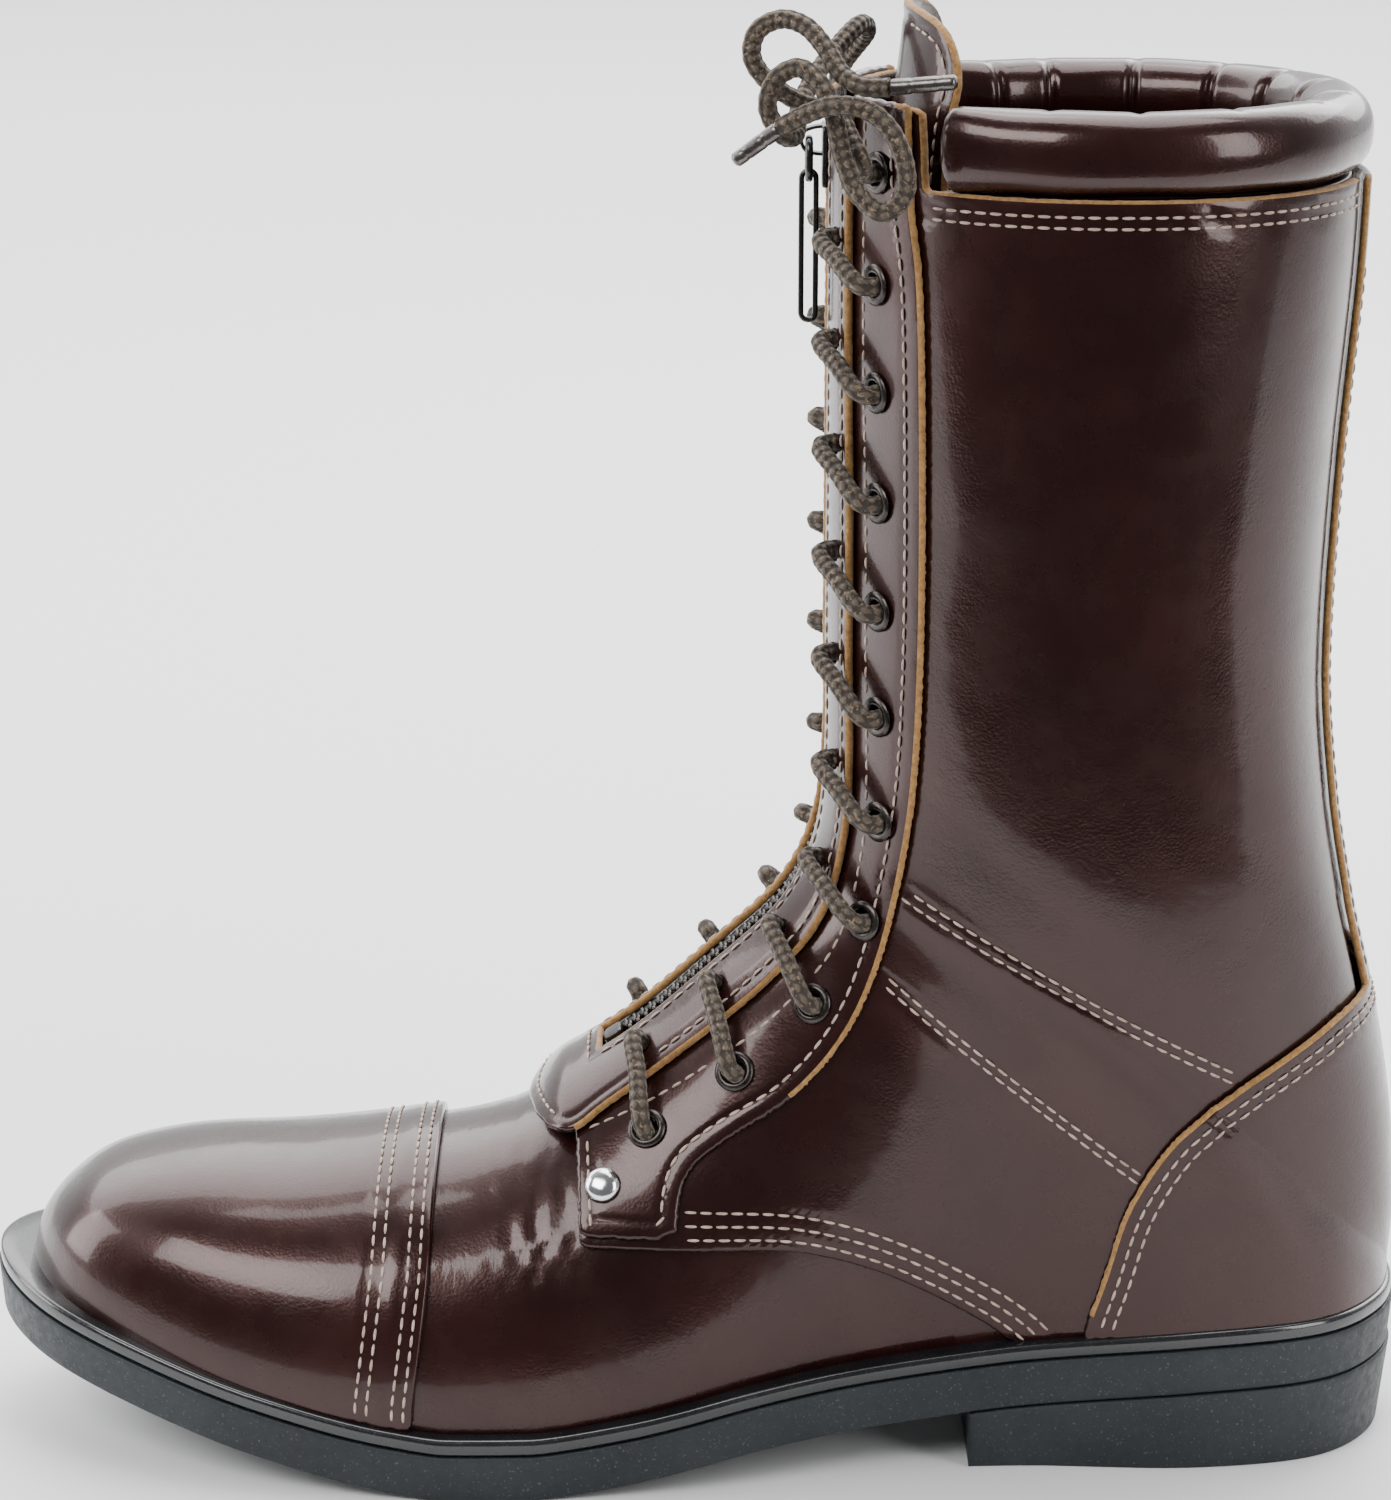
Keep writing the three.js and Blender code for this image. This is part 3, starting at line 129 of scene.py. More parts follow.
def outlineAt(q, inset):  # the sole's outline at position q, moved in by inset along its own normal
    def point(s):
        mirrored = (s < 0) | (s > outlineEnd)
        inside = np.where(s < 0, -s, np.where(s > outlineEnd, 2 * outlineEnd - s, s))
        half = smoothRow(paddedHalf, inside + 1)
        return smoothRow(paddedAlong, inside + 1), np.where(mirrored, -half, half)
    q = np.asarray(q, float)
    (x, y), (xa, ya), (xb, yb) = point(q), point(q - 0.02), point(q + 0.02)
    run = np.hypot(xb - xa, yb - ya)
    half = np.where((q <= 0) | (q >= outlineEnd), 0, y - inset * (xb - xa) / run)
    return x + inset * (yb - ya) / run, np.maximum(0, half)


def ledge(q):
    return mix(mix(10.3, 4.2, ease(q / 4)), 5.6, ease((q - 5) / 3))


# the ends slow to rest at the heel's corner: each column repeats its neighbour beyond it
featherColumn = np.append(sections[:corner + 1, 2], sections[corner - 1, 2])
backColumn = np.concatenate([[sections[corner + 1, 2], feather(heelX - 5.6) - 2.5], sections[corner + 1:, 2]])


def sectionPoint(s, t):
    # near half of the last: a cubic curve for each section s, from the front line (t = 0) square out and
    # down to the feather line, or past the heel's corner to the back line (t = 1)
    s, t = np.broadcast_arrays(np.asarray(s, float), np.asarray(t, float))
    low = s < corner
    q = np.clip(smoothRow(featherColumn, np.minimum(s, corner)), 0, outlineEnd)
    x, half = outlineAt(q, ledge(q))
    xa, ya = outlineAt(np.maximum(0.01, q - 0.03), ledge(q))
    xb, yb = outlineAt(np.minimum(outlineEnd - 0.01, q + 0.03), ledge(q))
    run = np.hypot(xb - xa, yb - ya) + 1e-12
    zBack = smoothRow(backColumn, np.maximum(s - corner, 0) + 1)
    endX = np.where(low, x, heightAt(backLine, zBack))
    endHalf = np.where(low, half, 0)
    endZ = np.where(low, feather(x) - 2.5, zBack)
    alongX = np.where(low, (xb - xa) / run * ease((outlineEnd - q) / 0.2), 0)
    alongY = np.where(low, (ya - yb) / run, 1)
    handle = np.maximum(0, smoothRow(sections[:, 3], s))
    side = np.maximum(0, smoothRow(sections[:, 4], s))
    lean = np.clip(smoothRow(sections[:, 5], s), 0, 1) * math.pi / 2
    sideways = np.sin(lean) * side
    frontX, frontZ = smoothRow(sections[:, 0], s), smoothRow(sections[:, 1], s)
    w = [(1 - t) ** 3, 3 * (1 - t) ** 2 * t, 3 * (1 - t) * t * t, t ** 3]
    return np.stack([
        (w[0] + w[1]) * frontX + w[2] * (endX - alongX * sideways) + w[3] * endX,
        -w[1] * handle + w[2] * (-endHalf - alongY * sideways) - w[3] * endHalf,
        (w[0] + w[1]) * frontZ + w[2] * (endZ + np.cos(lean) * side) + w[3] * endZ], -1)


def smoothedLast():
    # the sections near the heel's corner are averaged with their neighbours, so no crease runs from it
    s, t = np.meshgrid(np.arange(-1, 162 * 5) * 0.02, np.arange(-1, 102) * 0.01, indexing="ij")
    s, t = np.clip(s, 0, topSection), np.clip(t, 0, 1)
    p = sectionPoint(s, t)
    width = 0.75 * np.exp(-((s - corner) / 0.95) ** 2) * ease(t / 0.2) * (1 - ease((t - 0.8) / 0.2))
    near = width > 0.004
    p[near] = sum(weight * sectionPoint(s[near] + shift * width[near], t[near]) for shift,
        weight in ((-1, 0.05), (-0.75, 0.10), (-0.5, 0.14), (-0.25, 0.14), (0, 0.14), (0.25, 0.14),
        (0.5, 0.14), (0.75, 0.10), (1, 0.05)))
    return p


lastTable = smoothedLast()


def cubicWeights(f):
    return [0.5 * (-f + 2 * f ** 2 - f ** 3), 0.5 * (2 - 5 * f ** 2 + 3 * f ** 3),
            0.5 * (f + 4 * f ** 2 - 3 * f ** 3), 0.5 * (f ** 3 - f ** 2)]


def basePoint(s, t):  # the last's near half, read from the table by cubics
    s, t = np.broadcast_arrays(np.asarray(s, float), np.asarray(t, float))
    a, b = np.clip(s, 0, topSection) * 50, np.clip(t, 0, 1) * 100
    i, j = np.minimum(a.astype(int), 799), np.minimum(b.astype(int), 99)
    rows, cols = cubicWeights(a - i), cubicWeights(b - j)
    p = np.zeros(s.shape + (3,))
    for m in range(4):
        for n in range(4):
            p += (rows[m] * cols[n])[..., None] * lastTable[i + m, j + n]
    return p


def unit(v):
    return v / np.maximum(np.linalg.norm(v, axis=-1, keepdims=True), 1e-12)


def onLast(s, u):
    # the whole last: u runs -1 to 1 from the outer side to the inner side, 0 on the front line.
    # Gives the point, before the toe's swing, and the outward normal.
    s, u = np.broadcast_arrays(np.asarray(s, float), np.asarray(u, float))
    t, h = np.abs(u), 0.02
    side = np.where(u > 0, 1.0, -1.0)
    p = basePoint(s, t)
    across = basePoint(s, np.minimum(1, t + h)) - basePoint(s, np.maximum(0, t - h))
    step = mix(h, 0.14, np.exp(-((s - corner) / 0.7) ** 2))
    along = basePoint(np.clip(s + step, 0.1, topSection), t) - basePoint(np.clip(s - step, 0.05, topSection),
        t)
    n = np.cross(across, along)
    n[..., 1] = np.where((t < 1e-6) | ((t > 1 - 1e-6) & (s >= corner - 1e-6)), 0, n[..., 1])
    n = np.where((s < 1e-6)[..., None], np.array([-1.0, 0, 0]), n)
    n = unit(n)
    n[..., 1] *= -side
    p = p.copy()
    p[..., 1] = np.abs(p[..., 1]) * side
    return p, n


def swung(p):
    p = np.array(p, float)
    p[..., 1] += swing(p[..., 0])
    return p


def placed(s, u, level):  # a point at a level above the last
    p, n = onLast(s, u)
    return swung(p) + n * np.asarray(level, float)[..., None]


def roundReach(s, far, side):  # the place on section s that lies a given way round from the front line
    s = np.atleast_1d(np.asarray(s, float))
    t = np.linspace(0, 1, 401)
    p = basePoint(s[:, None], t[None, :])
    run = np.concatenate([np.zeros((len(s), 1)),
                          np.cumsum(np.linalg.norm(np.diff(p, axis=1), axis=-1), 1)], 1)
    far = np.broadcast_to(far, s.shape)
    return side * np.array([np.interp(f, r, t) for f, r in zip(far, run)])


# making meshes
def makeMesh(name, points, faces, materials, faceMaterial=None, uv=None, flat=False):
    # points in millimetres; faces is a list of index arrays, each of one width
    mesh = bpy.data.meshes.new(name)
    sizes = np.concatenate([np.full(len(f), f.shape[1]) for f in faces])
    loops = np.concatenate([f.ravel() for f in faces]).astype(np.int32)
    mesh.vertices.add(len(points))
    mesh.vertices.foreach_set("co", (np.asarray(points) * 0.001).astype(np.float32).ravel())
    mesh.loops.add(len(loops))
    mesh.loops.foreach_set("vertex_index", loops)
    mesh.polygons.add(len(sizes))
    starts = np.concatenate([[0], np.cumsum(sizes)[:-1]])
    mesh.polygons.foreach_set("loop_start", starts.astype(np.int32))
    mesh.polygons.foreach_set("loop_total", sizes.astype(np.int32))
    if faceMaterial is not None:
        mesh.polygons.foreach_set("material_index", np.asarray(faceMaterial, np.int32))
    mesh.polygons.foreach_set("use_smooth", np.full(len(sizes), not flat))
    if uv is not None:
        layer = mesh.uv_layers.new(name="weave")
        layer.data.foreach_set("uv", np.asarray(uv)[loops].astype(np.float32).ravel())
    for m in materials:
        mesh.materials.append(m)
    mesh.validate()
    mesh.update()
    piece = bpy.data.objects.new(name, mesh)
    bpy.context.scene.collection.objects.link(piece)
    return piece


def ringFaces(count, around, closed=False, wrap=True):  # quads between rings of points
    i = np.arange(count if closed else count - 1)[:, None]
    j = np.arange(around if wrap else around - 1)[None, :]
    a, b = i * around + j, i * around + (j + 1) % around
    step = (i + 1) % count * around
    c, d = step + (j + 1) % around, step + j
    return np.stack([a, b, c, d], -1).reshape(-1, 4)


def finishPiece(piece, body, slotName, *nodes):
    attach(piece, body)
    if nodes:
        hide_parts(*nodes)
    return piece


def trimmed(s, u, tris, d):
    # keeps the part of a triangle grid where d > 0. A crossing edge is cut where d is 0; a grid point
    # within a fifth of an edge of the cut is moved onto it, so no sliver is left
    edges = np.concatenate([tris[:, [0, 1]], tris[:, [1, 2]], tris[:, [2, 0]]])
    a, b = edges[:, 0], edges[:, 1]
    cross = (d[a] > 0) & (d[b] < 0)
    a, b = a[cross], b[cross]
    f = d[a] / (d[a] - d[b])
    near, far = f < 0.2, f > 0.8
    s2, u2, d2 = s.copy(), u.copy(), d.copy()
    for pick, who in ((near, a), (far, b)):
        s2[who[pick]] = mix(s[a], s[b], f)[pick]
        u2[who[pick]] = mix(u[a], u[b], f)[pick]
        d2[who[pick]] = 0
    s, u, d = s2, u2, d2
    tris = tris[(d[tris] > 0).any(1)]
    keep = (d[tris] >= 0).all(1)
    whole, cut = tris[keep], tris[~keep]
    edges = np.sort(np.concatenate([cut[:, [0, 1]], cut[:, [1, 2]], cut[:, [2, 0]]]), 1)
    edges = np.unique(edges, axis=0)
    edges = edges[(d[edges[:, 0]] < 0) != (d[edges[:, 1]] < 0)]
    a, b = edges.T
    f = d[a] / (d[a] - d[b])
    fresh = len(s) + np.arange(len(a))
    at = np.where(d[a] == 0, a, np.where(d[b] == 0, b, fresh))
    s, u = np.concatenate([s, mix(s[a], s[b], f)]), np.concatenate([u, mix(u[a], u[b], f)])
    count = len(d)
    d = np.concatenate([d, np.zeros(len(a))])
    order = np.argsort(a * count + b)
    keys = (a * count + b)[order]

    def meeting(p, q):
        key = np.minimum(p, q) * count + np.maximum(p, q)
        return at[order][np.searchsorted(keys, key)]
    made = [whole]
    inside = d[cut] >= 0
    for turn in range(3):
        v = np.roll(cut, -turn, 1)
        w = np.roll(inside, -turn, 1)
        one = w[:, 0] & ~w[:, 1] & ~w[:, 2]
        x = v[one]
        made.append(np.stack([x[:, 0], meeting(x[:, 0], x[:, 1]), meeting(x[:, 0], x[:, 2])], 1))
        two = w[:, 0] & w[:, 1] & ~w[:, 2]
        x = v[two]
        bc, ca = meeting(x[:, 1], x[:, 2]), meeting(x[:, 0], x[:, 2])
        made.append(np.stack([x[:, 0], x[:, 1], bc], 1))
        made.append(np.stack([x[:, 0], bc, ca], 1))
    tris = np.concatenate(made)
    good = (tris[:, 0] != tris[:, 1]) & (tris[:, 1] != tris[:, 2]) & (tris[:, 2] != tris[:, 0])
    return s, u, d, tris[good]


def insideOf(polygon, x, y):  # signed distance to a closed outline, positive inside
    a = np.array(polygon, float)
    b = np.roll(a, -1, 0)
    x, y = x[:, None], y[:, None]
    e = b - a
    t = np.clip(((x - a[:, 0]) * e[:, 0] + (y - a[:, 1]) * e[:, 1]) / ((e ** 2).sum(1) + 1e-12), 0, 1)
    gapTo = np.hypot(x - a[:, 0] - t * e[:, 0], y - a[:, 1] - t * e[:, 1]).min(1)
    spans = (a[:, 1] > y) != (b[:, 1] > y)
    with np.errstate(divide="ignore", invalid="ignore"):
        hits = spans & (x < (b[:, 0] - a[:, 0]) * (y - a[:, 1]) / (b[:, 1] - a[:, 1]) + a[:, 0])
    return np.where(hits.sum(1) % 2 == 1, gapTo, -gapTo)


def flowing(points, steps=4):
    s = np.linspace(0, len(points) - 1, (len(points) - 1) * steps + 1)
    return np.stack([smoothRow([p[k] for p in points], s) for k in (0, 1)], 1)


def shifted(points, distance):  # a side-view line moved to the left of its direction
    p = np.asarray(points, float)
    e = np.gradient(p, axis=0)
    e /= np.linalg.norm(e, axis=1)[:, None]
    return p + distance * np.stack([-e[:, 1], e[:, 0]], 1)


def makeSheet(name, spec, materials):
    # a closed leather sheet: the last's grid trimmed to spec["zone"], lifted to an outer and an inner
    # level, joined round its rim by a half-round edge
    s0, s1 = spec["sections"]
    u0, u1 = spec.get("round", (-1, 1))
    cell = spec.get("cell", 1.6)
    fine = np.linspace(s0, s1, 400)
    run = sum(np.linalg.norm(np.diff(basePoint(fine, t), axis=0), axis=1)
        for t in spec.get("paceAt", (0, 0.5, 1)))
    run = np.concatenate([[0], np.cumsum(run / len(spec.get("paceAt", (0, 0.5, 1))))])
    rows = np.interp(np.linspace(0, run[-1], int(run[-1] / cell) + 1), run, fine)
    middle = basePoint(0.5 * (s0 + s1), np.linspace(0, 1, 200))
    lengthAcross = np.linalg.norm(np.diff(middle, axis=0), axis=1).sum()
    cols = np.linspace(u0, u1, 2 * int((u1 - u0) * lengthAcross / cell / 2) + 1)
    s, u = [g.ravel() for g in np.meshgrid(rows, cols, indexing="ij")]
    n = len(cols)
    i, j = [g.ravel() for g in np.meshgrid(np.arange(len(rows) - 1), np.arange(n - 1), indexing="ij")]
    a = i * n + j
    flip = (i + j) % 2 == 0
    tris = np.concatenate([
        np.stack([a, a + 1, a + n + 1], 1)[flip], np.stack([a, a + n + 1, a + n], 1)[flip],
        np.stack([a, a + 1, a + n], 1)[~flip], np.stack([a + 1, a + n + 1, a + n], 1)[~flip]])
    p, _ = onLast(s, u)
    s, u, d, tris = trimmed(s, u, tris, spec["zone"](p))
    p, normal = onLast(s, u)
    # weld the toe's tip and the back line, where the two sides meet
    _, first, same = np.unique(np.round(p * 200).astype(np.int64), axis=0, return_index=True,
        return_inverse=True)
    tris = same.ravel()[tris]
    tris = tris[(tris[:, 0] != tris[:, 1]) & (tris[:, 1] != tris[:, 2]) & (tris[:, 2] != tris[:, 0])]
    used, tris = np.unique(tris, return_inverse=True)
    tris = tris.reshape(-1, 3)
    p, normal, d, s, u = [v[first][used] for v in (p, normal, d, s, u)]
    high, low = [np.broadcast_to(spec[k](p) if callable(spec[k]) else spec[k], len(p)).astype(float)
                 for k in ("outer", "inner")]
    relief = spec["relief"](p, d) if "relief" in spec else 0
    base = swung(p)
    count = len(p)
    # facing: outward faces run clockwise in (s, u) on both sides, so test one and turn all alike
    q = base + normal * high[:, None]
    facing = np.cross(q[tris[:, 1]] - q[tris[:, 0]], q[tris[:, 2]] - q[tris[:, 0]])
    if (facing * normal[tris[:, 0]]).sum() < 0:
        tris = tris[:, ::-1]
    half = np.concatenate([tris[:, [0, 1]], tris[:, [1, 2]], tris[:, [2, 0]]])
    rim = half[~np.isin(half[:, 0] * count + half[:, 1], half[:, 1] * count + half[:, 0])]
    tangent = unit(base[rim[:, 1]] - base[rim[:, 0]])
    away = np.zeros((count, 3))
    np.add.at(away, rim[:, 0], np.cross(tangent, normal[rim[:, 0]]))
    np.add.at(away, rim[:, 1], np.cross(tangent, normal[rim[:, 1]]))
    away = unit(away)
    ids = np.unique(rim)
    slotOf = np.full(count, -1)
    slotOf[ids] = np.arange(len(ids))
    layers = [base + normal * (high + relief)[:, None], base + normal * low[:, None]]
    bulge = spec.get("bulge", 0.7)
    rough = 0.12 * np.sin(base[ids, 0] * 3.1 + base[ids, 2] * 2.3) + 0.1 * np.sin(base[ids, 2] * 5.7
        + base[ids, 0])
    rough = rough * spec.get("fray", 0)
    turns = np.linspace(math.pi / 2, -math.pi / 2, 7)[1:-1]
    outer = (high + relief)[ids]
    for angle in turns:
        level = (outer + low[ids]) / 2 + (outer - low[ids]) / 2 * math.sin(angle)
        layers.append(base[ids] + normal[ids] * level[:, None] + away[ids]
            * ((bulge + rough) * math.cos(angle))[:, None])
    starts = [None] + [2 * count + k * len(ids) for k in range(len(turns))] + [None]

    def ring(k, v):
        if k == 0:
            return v
        if k == len(turns) + 1:
            return v + count
        return starts[k] + slotOf[v]
    walls = [np.stack([ring(k, rim[:, 1]), ring(k, rim[:, 0]), ring(k + 1, rim[:, 0]),
        ring(k + 1, rim[:, 1])], 1) for k in range(len(turns) + 1)]
    walls = np.concatenate(walls)
    raw = spec["raw"](p) if "raw" in spec else np.zeros(count, bool)
    rimRaw = np.tile(raw[rim[:, 0]], len(turns) + 1)
    kind = np.concatenate([np.zeros(2 * len(tris), int), np.where(rimRaw, 1, 0)])
    piece = makeMesh(name, np.concatenate(layers), [np.concatenate([tris, tris[:, ::-1] + count]), walls],
                     materials, kind)
    print("sheet", name, len(tris) * 2 + len(walls) * 2, "triangles")
    return piece


# materials
def newMaterial(name, **values):
    material = bpy.data.materials.new(name)
    material.use_nodes = True
    tree = material.node_tree
    shader = tree.nodes["Principled BSDF"]
    for key, value in values.items():
        shader.inputs[key].default_value = value
    return material, tree, shader


def addNode(tree, kind, **values):
    node = tree.nodes.new(kind)
    for key, value in values.items():
        if key in node.inputs:
            node.inputs[key].default_value = value
        else:
            setattr(node, key, value)
    return node


def link(tree, a, out, b, into):
    tree.links.new(a.outputs[out], b.inputs[into])


def place(tree, scale=(1, 1, 1)):  # object coordinates, in metres, stretched by scale
    coord = addNode(tree, "ShaderNodeTexCoord")
    mapping = addNode(tree, "ShaderNodeMapping", Scale=scale)
    link(tree, coord, "Object", mapping, "Vector")
    return mapping


def noise(tree, at, scale, detail=3, rough=0.55, distortion=0):
    node = addNode(tree, "ShaderNodeTexNoise", Scale=scale, Detail=detail, Roughness=rough,
        Distortion=distortion)
    link(tree, at, "Vector", node, "Vector")
    return node


def ramp(tree, source, out, stops):
    node = addNode(tree, "ShaderNodeValToRGB")
    link(tree, source, out, node, "Fac")
    elements = node.color_ramp.elements
    while len(elements) < len(stops):
        elements.new(0.5)
    for element, (where, colour) in zip(elements, stops):
        element.position = where
        element.color = (*colour, 1) if len(colour) == 3 else colour
    return node


def spread(tree, source, out, low, high, fromLow=0.3, fromHigh=0.7):
    node = addNode(tree, "ShaderNodeMapRange")
    node.inputs["From Min"].default_value = fromLow
    node.inputs["From Max"].default_value = fromHigh
    node.inputs["To Min"].default_value = low
    node.inputs["To Max"].default_value = high
    link(tree, source, out, node, "Value")
    return node


def bump(tree, source, out, strength, distance, below=None):
    node = addNode(tree, "ShaderNodeBump", Strength=strength, Distance=distance)
    link(tree, source, out, node, "Height")
    if below:
        link(tree, below, "Normal", node, "Normal")
    return node


leatherLook = dict(dark=(0.0075, 0.0016, 0.0015), mid=(0.013, 0.0028, 0.0025), light=(0.022, 0.0053, 0.0045),
                   grain=1500, rough=(0.20, 0.34), coat=0.42, coatRough=0.09)


def polishedLeather(name, look, creased=False):
    # dyed hide: a slow noise mixes three burgundies, fine pebbles and pores give the bump, and a
    # slow noise varies the polish
    material, tree, shader = newMaterial(name, **{
        "Coat Weight": look["coat"], "Coat Roughness": look["coatRough"], "Coat IOR": 1.5, "IOR": 1.45,
        "Specular Tint": (1.0, 0.66, 0.62, 1)})
    at = place(tree)
    slow = noise(tree, at, 22, 4, 0.6, 0.4)
    colour = ramp(tree, slow, "Fac", [(0.32, look["dark"]), (0.52, look["mid"]), (0.74, look["light"])])
    link(tree, colour, "Color", shader, "Base Color")
    polish = spread(tree, noise(tree, at, 60, 5, 0.65), "Fac", *look["rough"])
    link(tree, polish, "Result", shader, "Roughness")
    pebbles = addNode(tree, "ShaderNodeTexVoronoi", Scale=look["grain"])
    link(tree, at, "Vector", pebbles, "Vector")
    fine = bump(tree, pebbles, "Distance", 0.10, 0.00025)
    wavy = bump(tree, noise(tree, at, 240, 3), "Fac", 0.10, 0.0006, fine)
    slack = bump(tree, noise(tree, at, 42, 2), "Fac", 0.16, 0.0016, wavy)
    link(tree, slack, "Normal", shader, "Normal")
    coatBump = bump(tree, noise(tree, at, 48, 3), "Fac", 0.12, 0.0014)
    if creased:
        folds = noise(tree, place(tree, (190, 60, 34)), 1, 3, 0.5, 1.2)
        coatBump = bump(tree, folds, "Fac", 0.10, 0.0012, coatBump)
    link(tree, coatBump, "Normal", shader, "Coat Normal")
    return material


def rawLeather(name, low, high):
    # cut edge: loose fibres, an ochre that noise darkens in streaks, quite matte
    material, tree, shader = newMaterial(name, Roughness=0.85)
    shader.inputs["Sheen Weight"].default_value = 0.25
    at = place(tree)
    fibres = noise(tree, at, 900, 5, 0.7)
    colour = ramp(tree, fibres, "Fac", [(0.3, low), (0.7, high)])
    link(tree, colour, "Color", shader, "Base Color")
    link(tree, bump(tree, fibres, "Fac", 0.8, 0.0006), "Normal", shader, "Normal")
    return material


def plainLook(name, low, high, scale, rough, metallic=0.0, bumpScale=900, strength=0.2, depthOf=0.0003,
    **more):
    # one noise mixes two colours, a finer one gives the bump and varies the gloss
    material, tree, shader = newMaterial(name, Metallic=metallic, **more)
    at = place(tree)
    colour = ramp(tree, noise(tree, at, scale, 4), "Fac", [(0.35, low), (0.65, high)])
    link(tree, colour, "Color", shader, "Base Color")
    fine = noise(tree, at, bumpScale, 4, 0.6)
    link(tree, spread(tree, fine, "Fac", *rough), "Result", shader, "Roughness")
    link(tree, bump(tree, fine, "Fac", strength, depthOf), "Normal", shader, "Normal")
    return material


def speckledRubber(name):
    # moulded rubber: blue black with pale dust specks from a thresholded noise, matte, lightly pitted
    material, tree, shader = newMaterial(name, IOR=1.45)
    at = place(tree)
    base = ramp(tree, noise(tree, at, 35, 3), "Fac", [(0.3, (0.0075, 0.0105, 0.0125)),
        (0.7, (0.014, 0.019, 0.022))])
    specks = ramp(tree, noise(tree, at, 1700, 2, 0.5), "Fac", [(0.64, (0, 0, 0)), (0.72, (1, 1, 1))])
    both = addNode(tree, "ShaderNodeMix", data_type="RGBA")
    link(tree, specks, "Color", both, 0)
    link(tree, base, "Color", both, 6)
    both.inputs[7].default_value = (0.055, 0.07, 0.075, 1)
    tree.links.new(both.outputs[2], shader.inputs["Base Color"])
    link(tree, spread(tree, noise(tree, at, 500, 4), "Fac", 0.42, 0.62), "Result", shader, "Roughness")
    link(tree, bump(tree, noise(tree, at, 650, 5, 0.7), "Fac", 0.3, 0.0004), "Normal", shader, "Normal")
    return material


def braidedCord(name):
    # woven cord on the tube's own uv: u counts strands round it, v counts strands along it. Two slanted
    # waves, like the tube's relief, darken the grooves between strands with painted shadow, and a noise
    # drops pale flecks
    material, tree, shader = newMaterial(name, Roughness=0.9)
    shader.inputs["Sheen Weight"].default_value = 0.12
    coord = addNode(tree, "ShaderNodeTexCoord")
    split = addNode(tree, "ShaderNodeSeparateXYZ")
    link(tree, coord, "UV", split, "Vector")

    def wave(sign):
        turned = addNode(tree, "ShaderNodeMath", operation="MULTIPLY")
        link(tree, split, "Y", turned, 0)
        turned.inputs[1].default_value = sign
        total = addNode(tree, "ShaderNodeMath", operation="ADD")
        link(tree, split, "X", total, 0)
        tree.links.new(turned.outputs[0], total.inputs[1])
        angle = addNode(tree, "ShaderNodeMath", operation="MULTIPLY")
        tree.links.new(total.outputs[0], angle.inputs[0])
        angle.inputs[1].default_value = 2 * math.pi
        sine = addNode(tree, "ShaderNodeMath", operation="SINE")
        tree.links.new(angle.outputs[0], sine.inputs[0])
        return sine
    product = addNode(tree, "ShaderNodeMath", operation="MULTIPLY")
    tree.links.new(wave(1).outputs[0], product.inputs[0])
    tree.links.new(wave(-1).outputs[0], product.inputs[1])
    # painted shadow: the colour is dark where the waves dip, in the grooves between strands, and lighter on
    # the strands' crowns
    paintedGrooveShade = ramp(tree, product, 0, [(0.0, (0.030, 0.021, 0.015)), (0.35, (0.095, 0.070, 0.048))])
    flecks = ramp(tree, noise(tree, place(tree), 1100, 2), "Fac", [(0.57, (0, 0, 0)), (0.68, (1, 1, 1))])
    both = addNode(tree, "ShaderNodeMix", data_type="RGBA")
    link(tree, flecks, "Color", both, 0)
    link(tree, paintedGrooveShade, "Color", both, 6)
    both.inputs[7].default_value = (0.20, 0.145, 0.095, 1)
    tree.links.new(both.outputs[2], shader.inputs["Base Color"])
    link(tree, bump(tree, product, 0, 0.6, 0.0004), "Normal", shader, "Normal")
    return material


leather = polishedLeather("polishedLeather", leatherLook)
creasedLeather = polishedLeather("creasedLeather", leatherLook, True)
liningLeather = polishedLeather("liningLeather", dict(leatherLook, coat=0.35, coatRough=0.2,
    rough=(0.3, 0.45)))
rawEdge = rawLeather("rawEdge", (0.20, 0.085, 0.018), (0.46, 0.25, 0.075))
darkEdge = rawLeather("darkEdge", (0.022, 0.007, 0.006), (0.06, 0.02, 0.014))
rubber = speckledRubber("speckledRubber")
weltLook = plainLook("glossyWelt", (0.006, 0.007, 0.008), (0.012, 0.013, 0.015), 60, (0.16, 0.3), 0, 700,
    0.12, 0.0003, **{"Coat Weight": 0.6, "Coat Roughness": 0.1})
thread = plainLook("thread", (0.34, 0.25, 0.20), (0.55, 0.43, 0.36), 700, (0.6, 0.8), 0, 2500, 0.5, 0.0002)
gunmetal = plainLook("gunmetal", (0.035, 0.03, 0.028), (0.07, 0.06, 0.056), 300, (0.2, 0.36), 0.9, 1200, 0.06)
blackEnamel = plainLook("blackEnamel", (0.012, 0.012, 0.012), (0.022, 0.022, 0.023), 200, (0.18, 0.32), 0.5,
    900, 0.06, 0.0002, **{"Coat Weight": 0.5})
chrome = plainLook("chrome", (0.80, 0.81, 0.83), (0.90, 0.90, 0.91), 90, (0.12, 0.2), 1.0, 500, 0.02)
tapeCloth = plainLook("zipTape", (0.011, 0.010, 0.010), (0.028, 0.025, 0.024), 500, (0.75, 0.9), 0, 1500, 0.6,
    0.0003)
boardLook = plainLook("fibreBoard", (0.30, 0.20, 0.11), (0.42, 0.30, 0.18), 300, (0.8, 0.95))
corkLook = plainLook("cork", (0.20, 0.12, 0.06), (0.38, 0.25, 0.13), 260, (0.85, 0.95), 0, 500, 0.6, 0.001)
steelLook = plainLook("springSteel", (0.4, 0.4, 0.42), (0.55, 0.55, 0.57), 150, (0.25, 0.4), 1.0)
insoleCloth = plainLook("insoleCloth", (0.016, 0.014, 0.013), (0.04, 0.035, 0.032), 400, (0.8, 0.95), 0, 1300,
    0.7, 0.0004)
lace = braidedCord("laceCord")
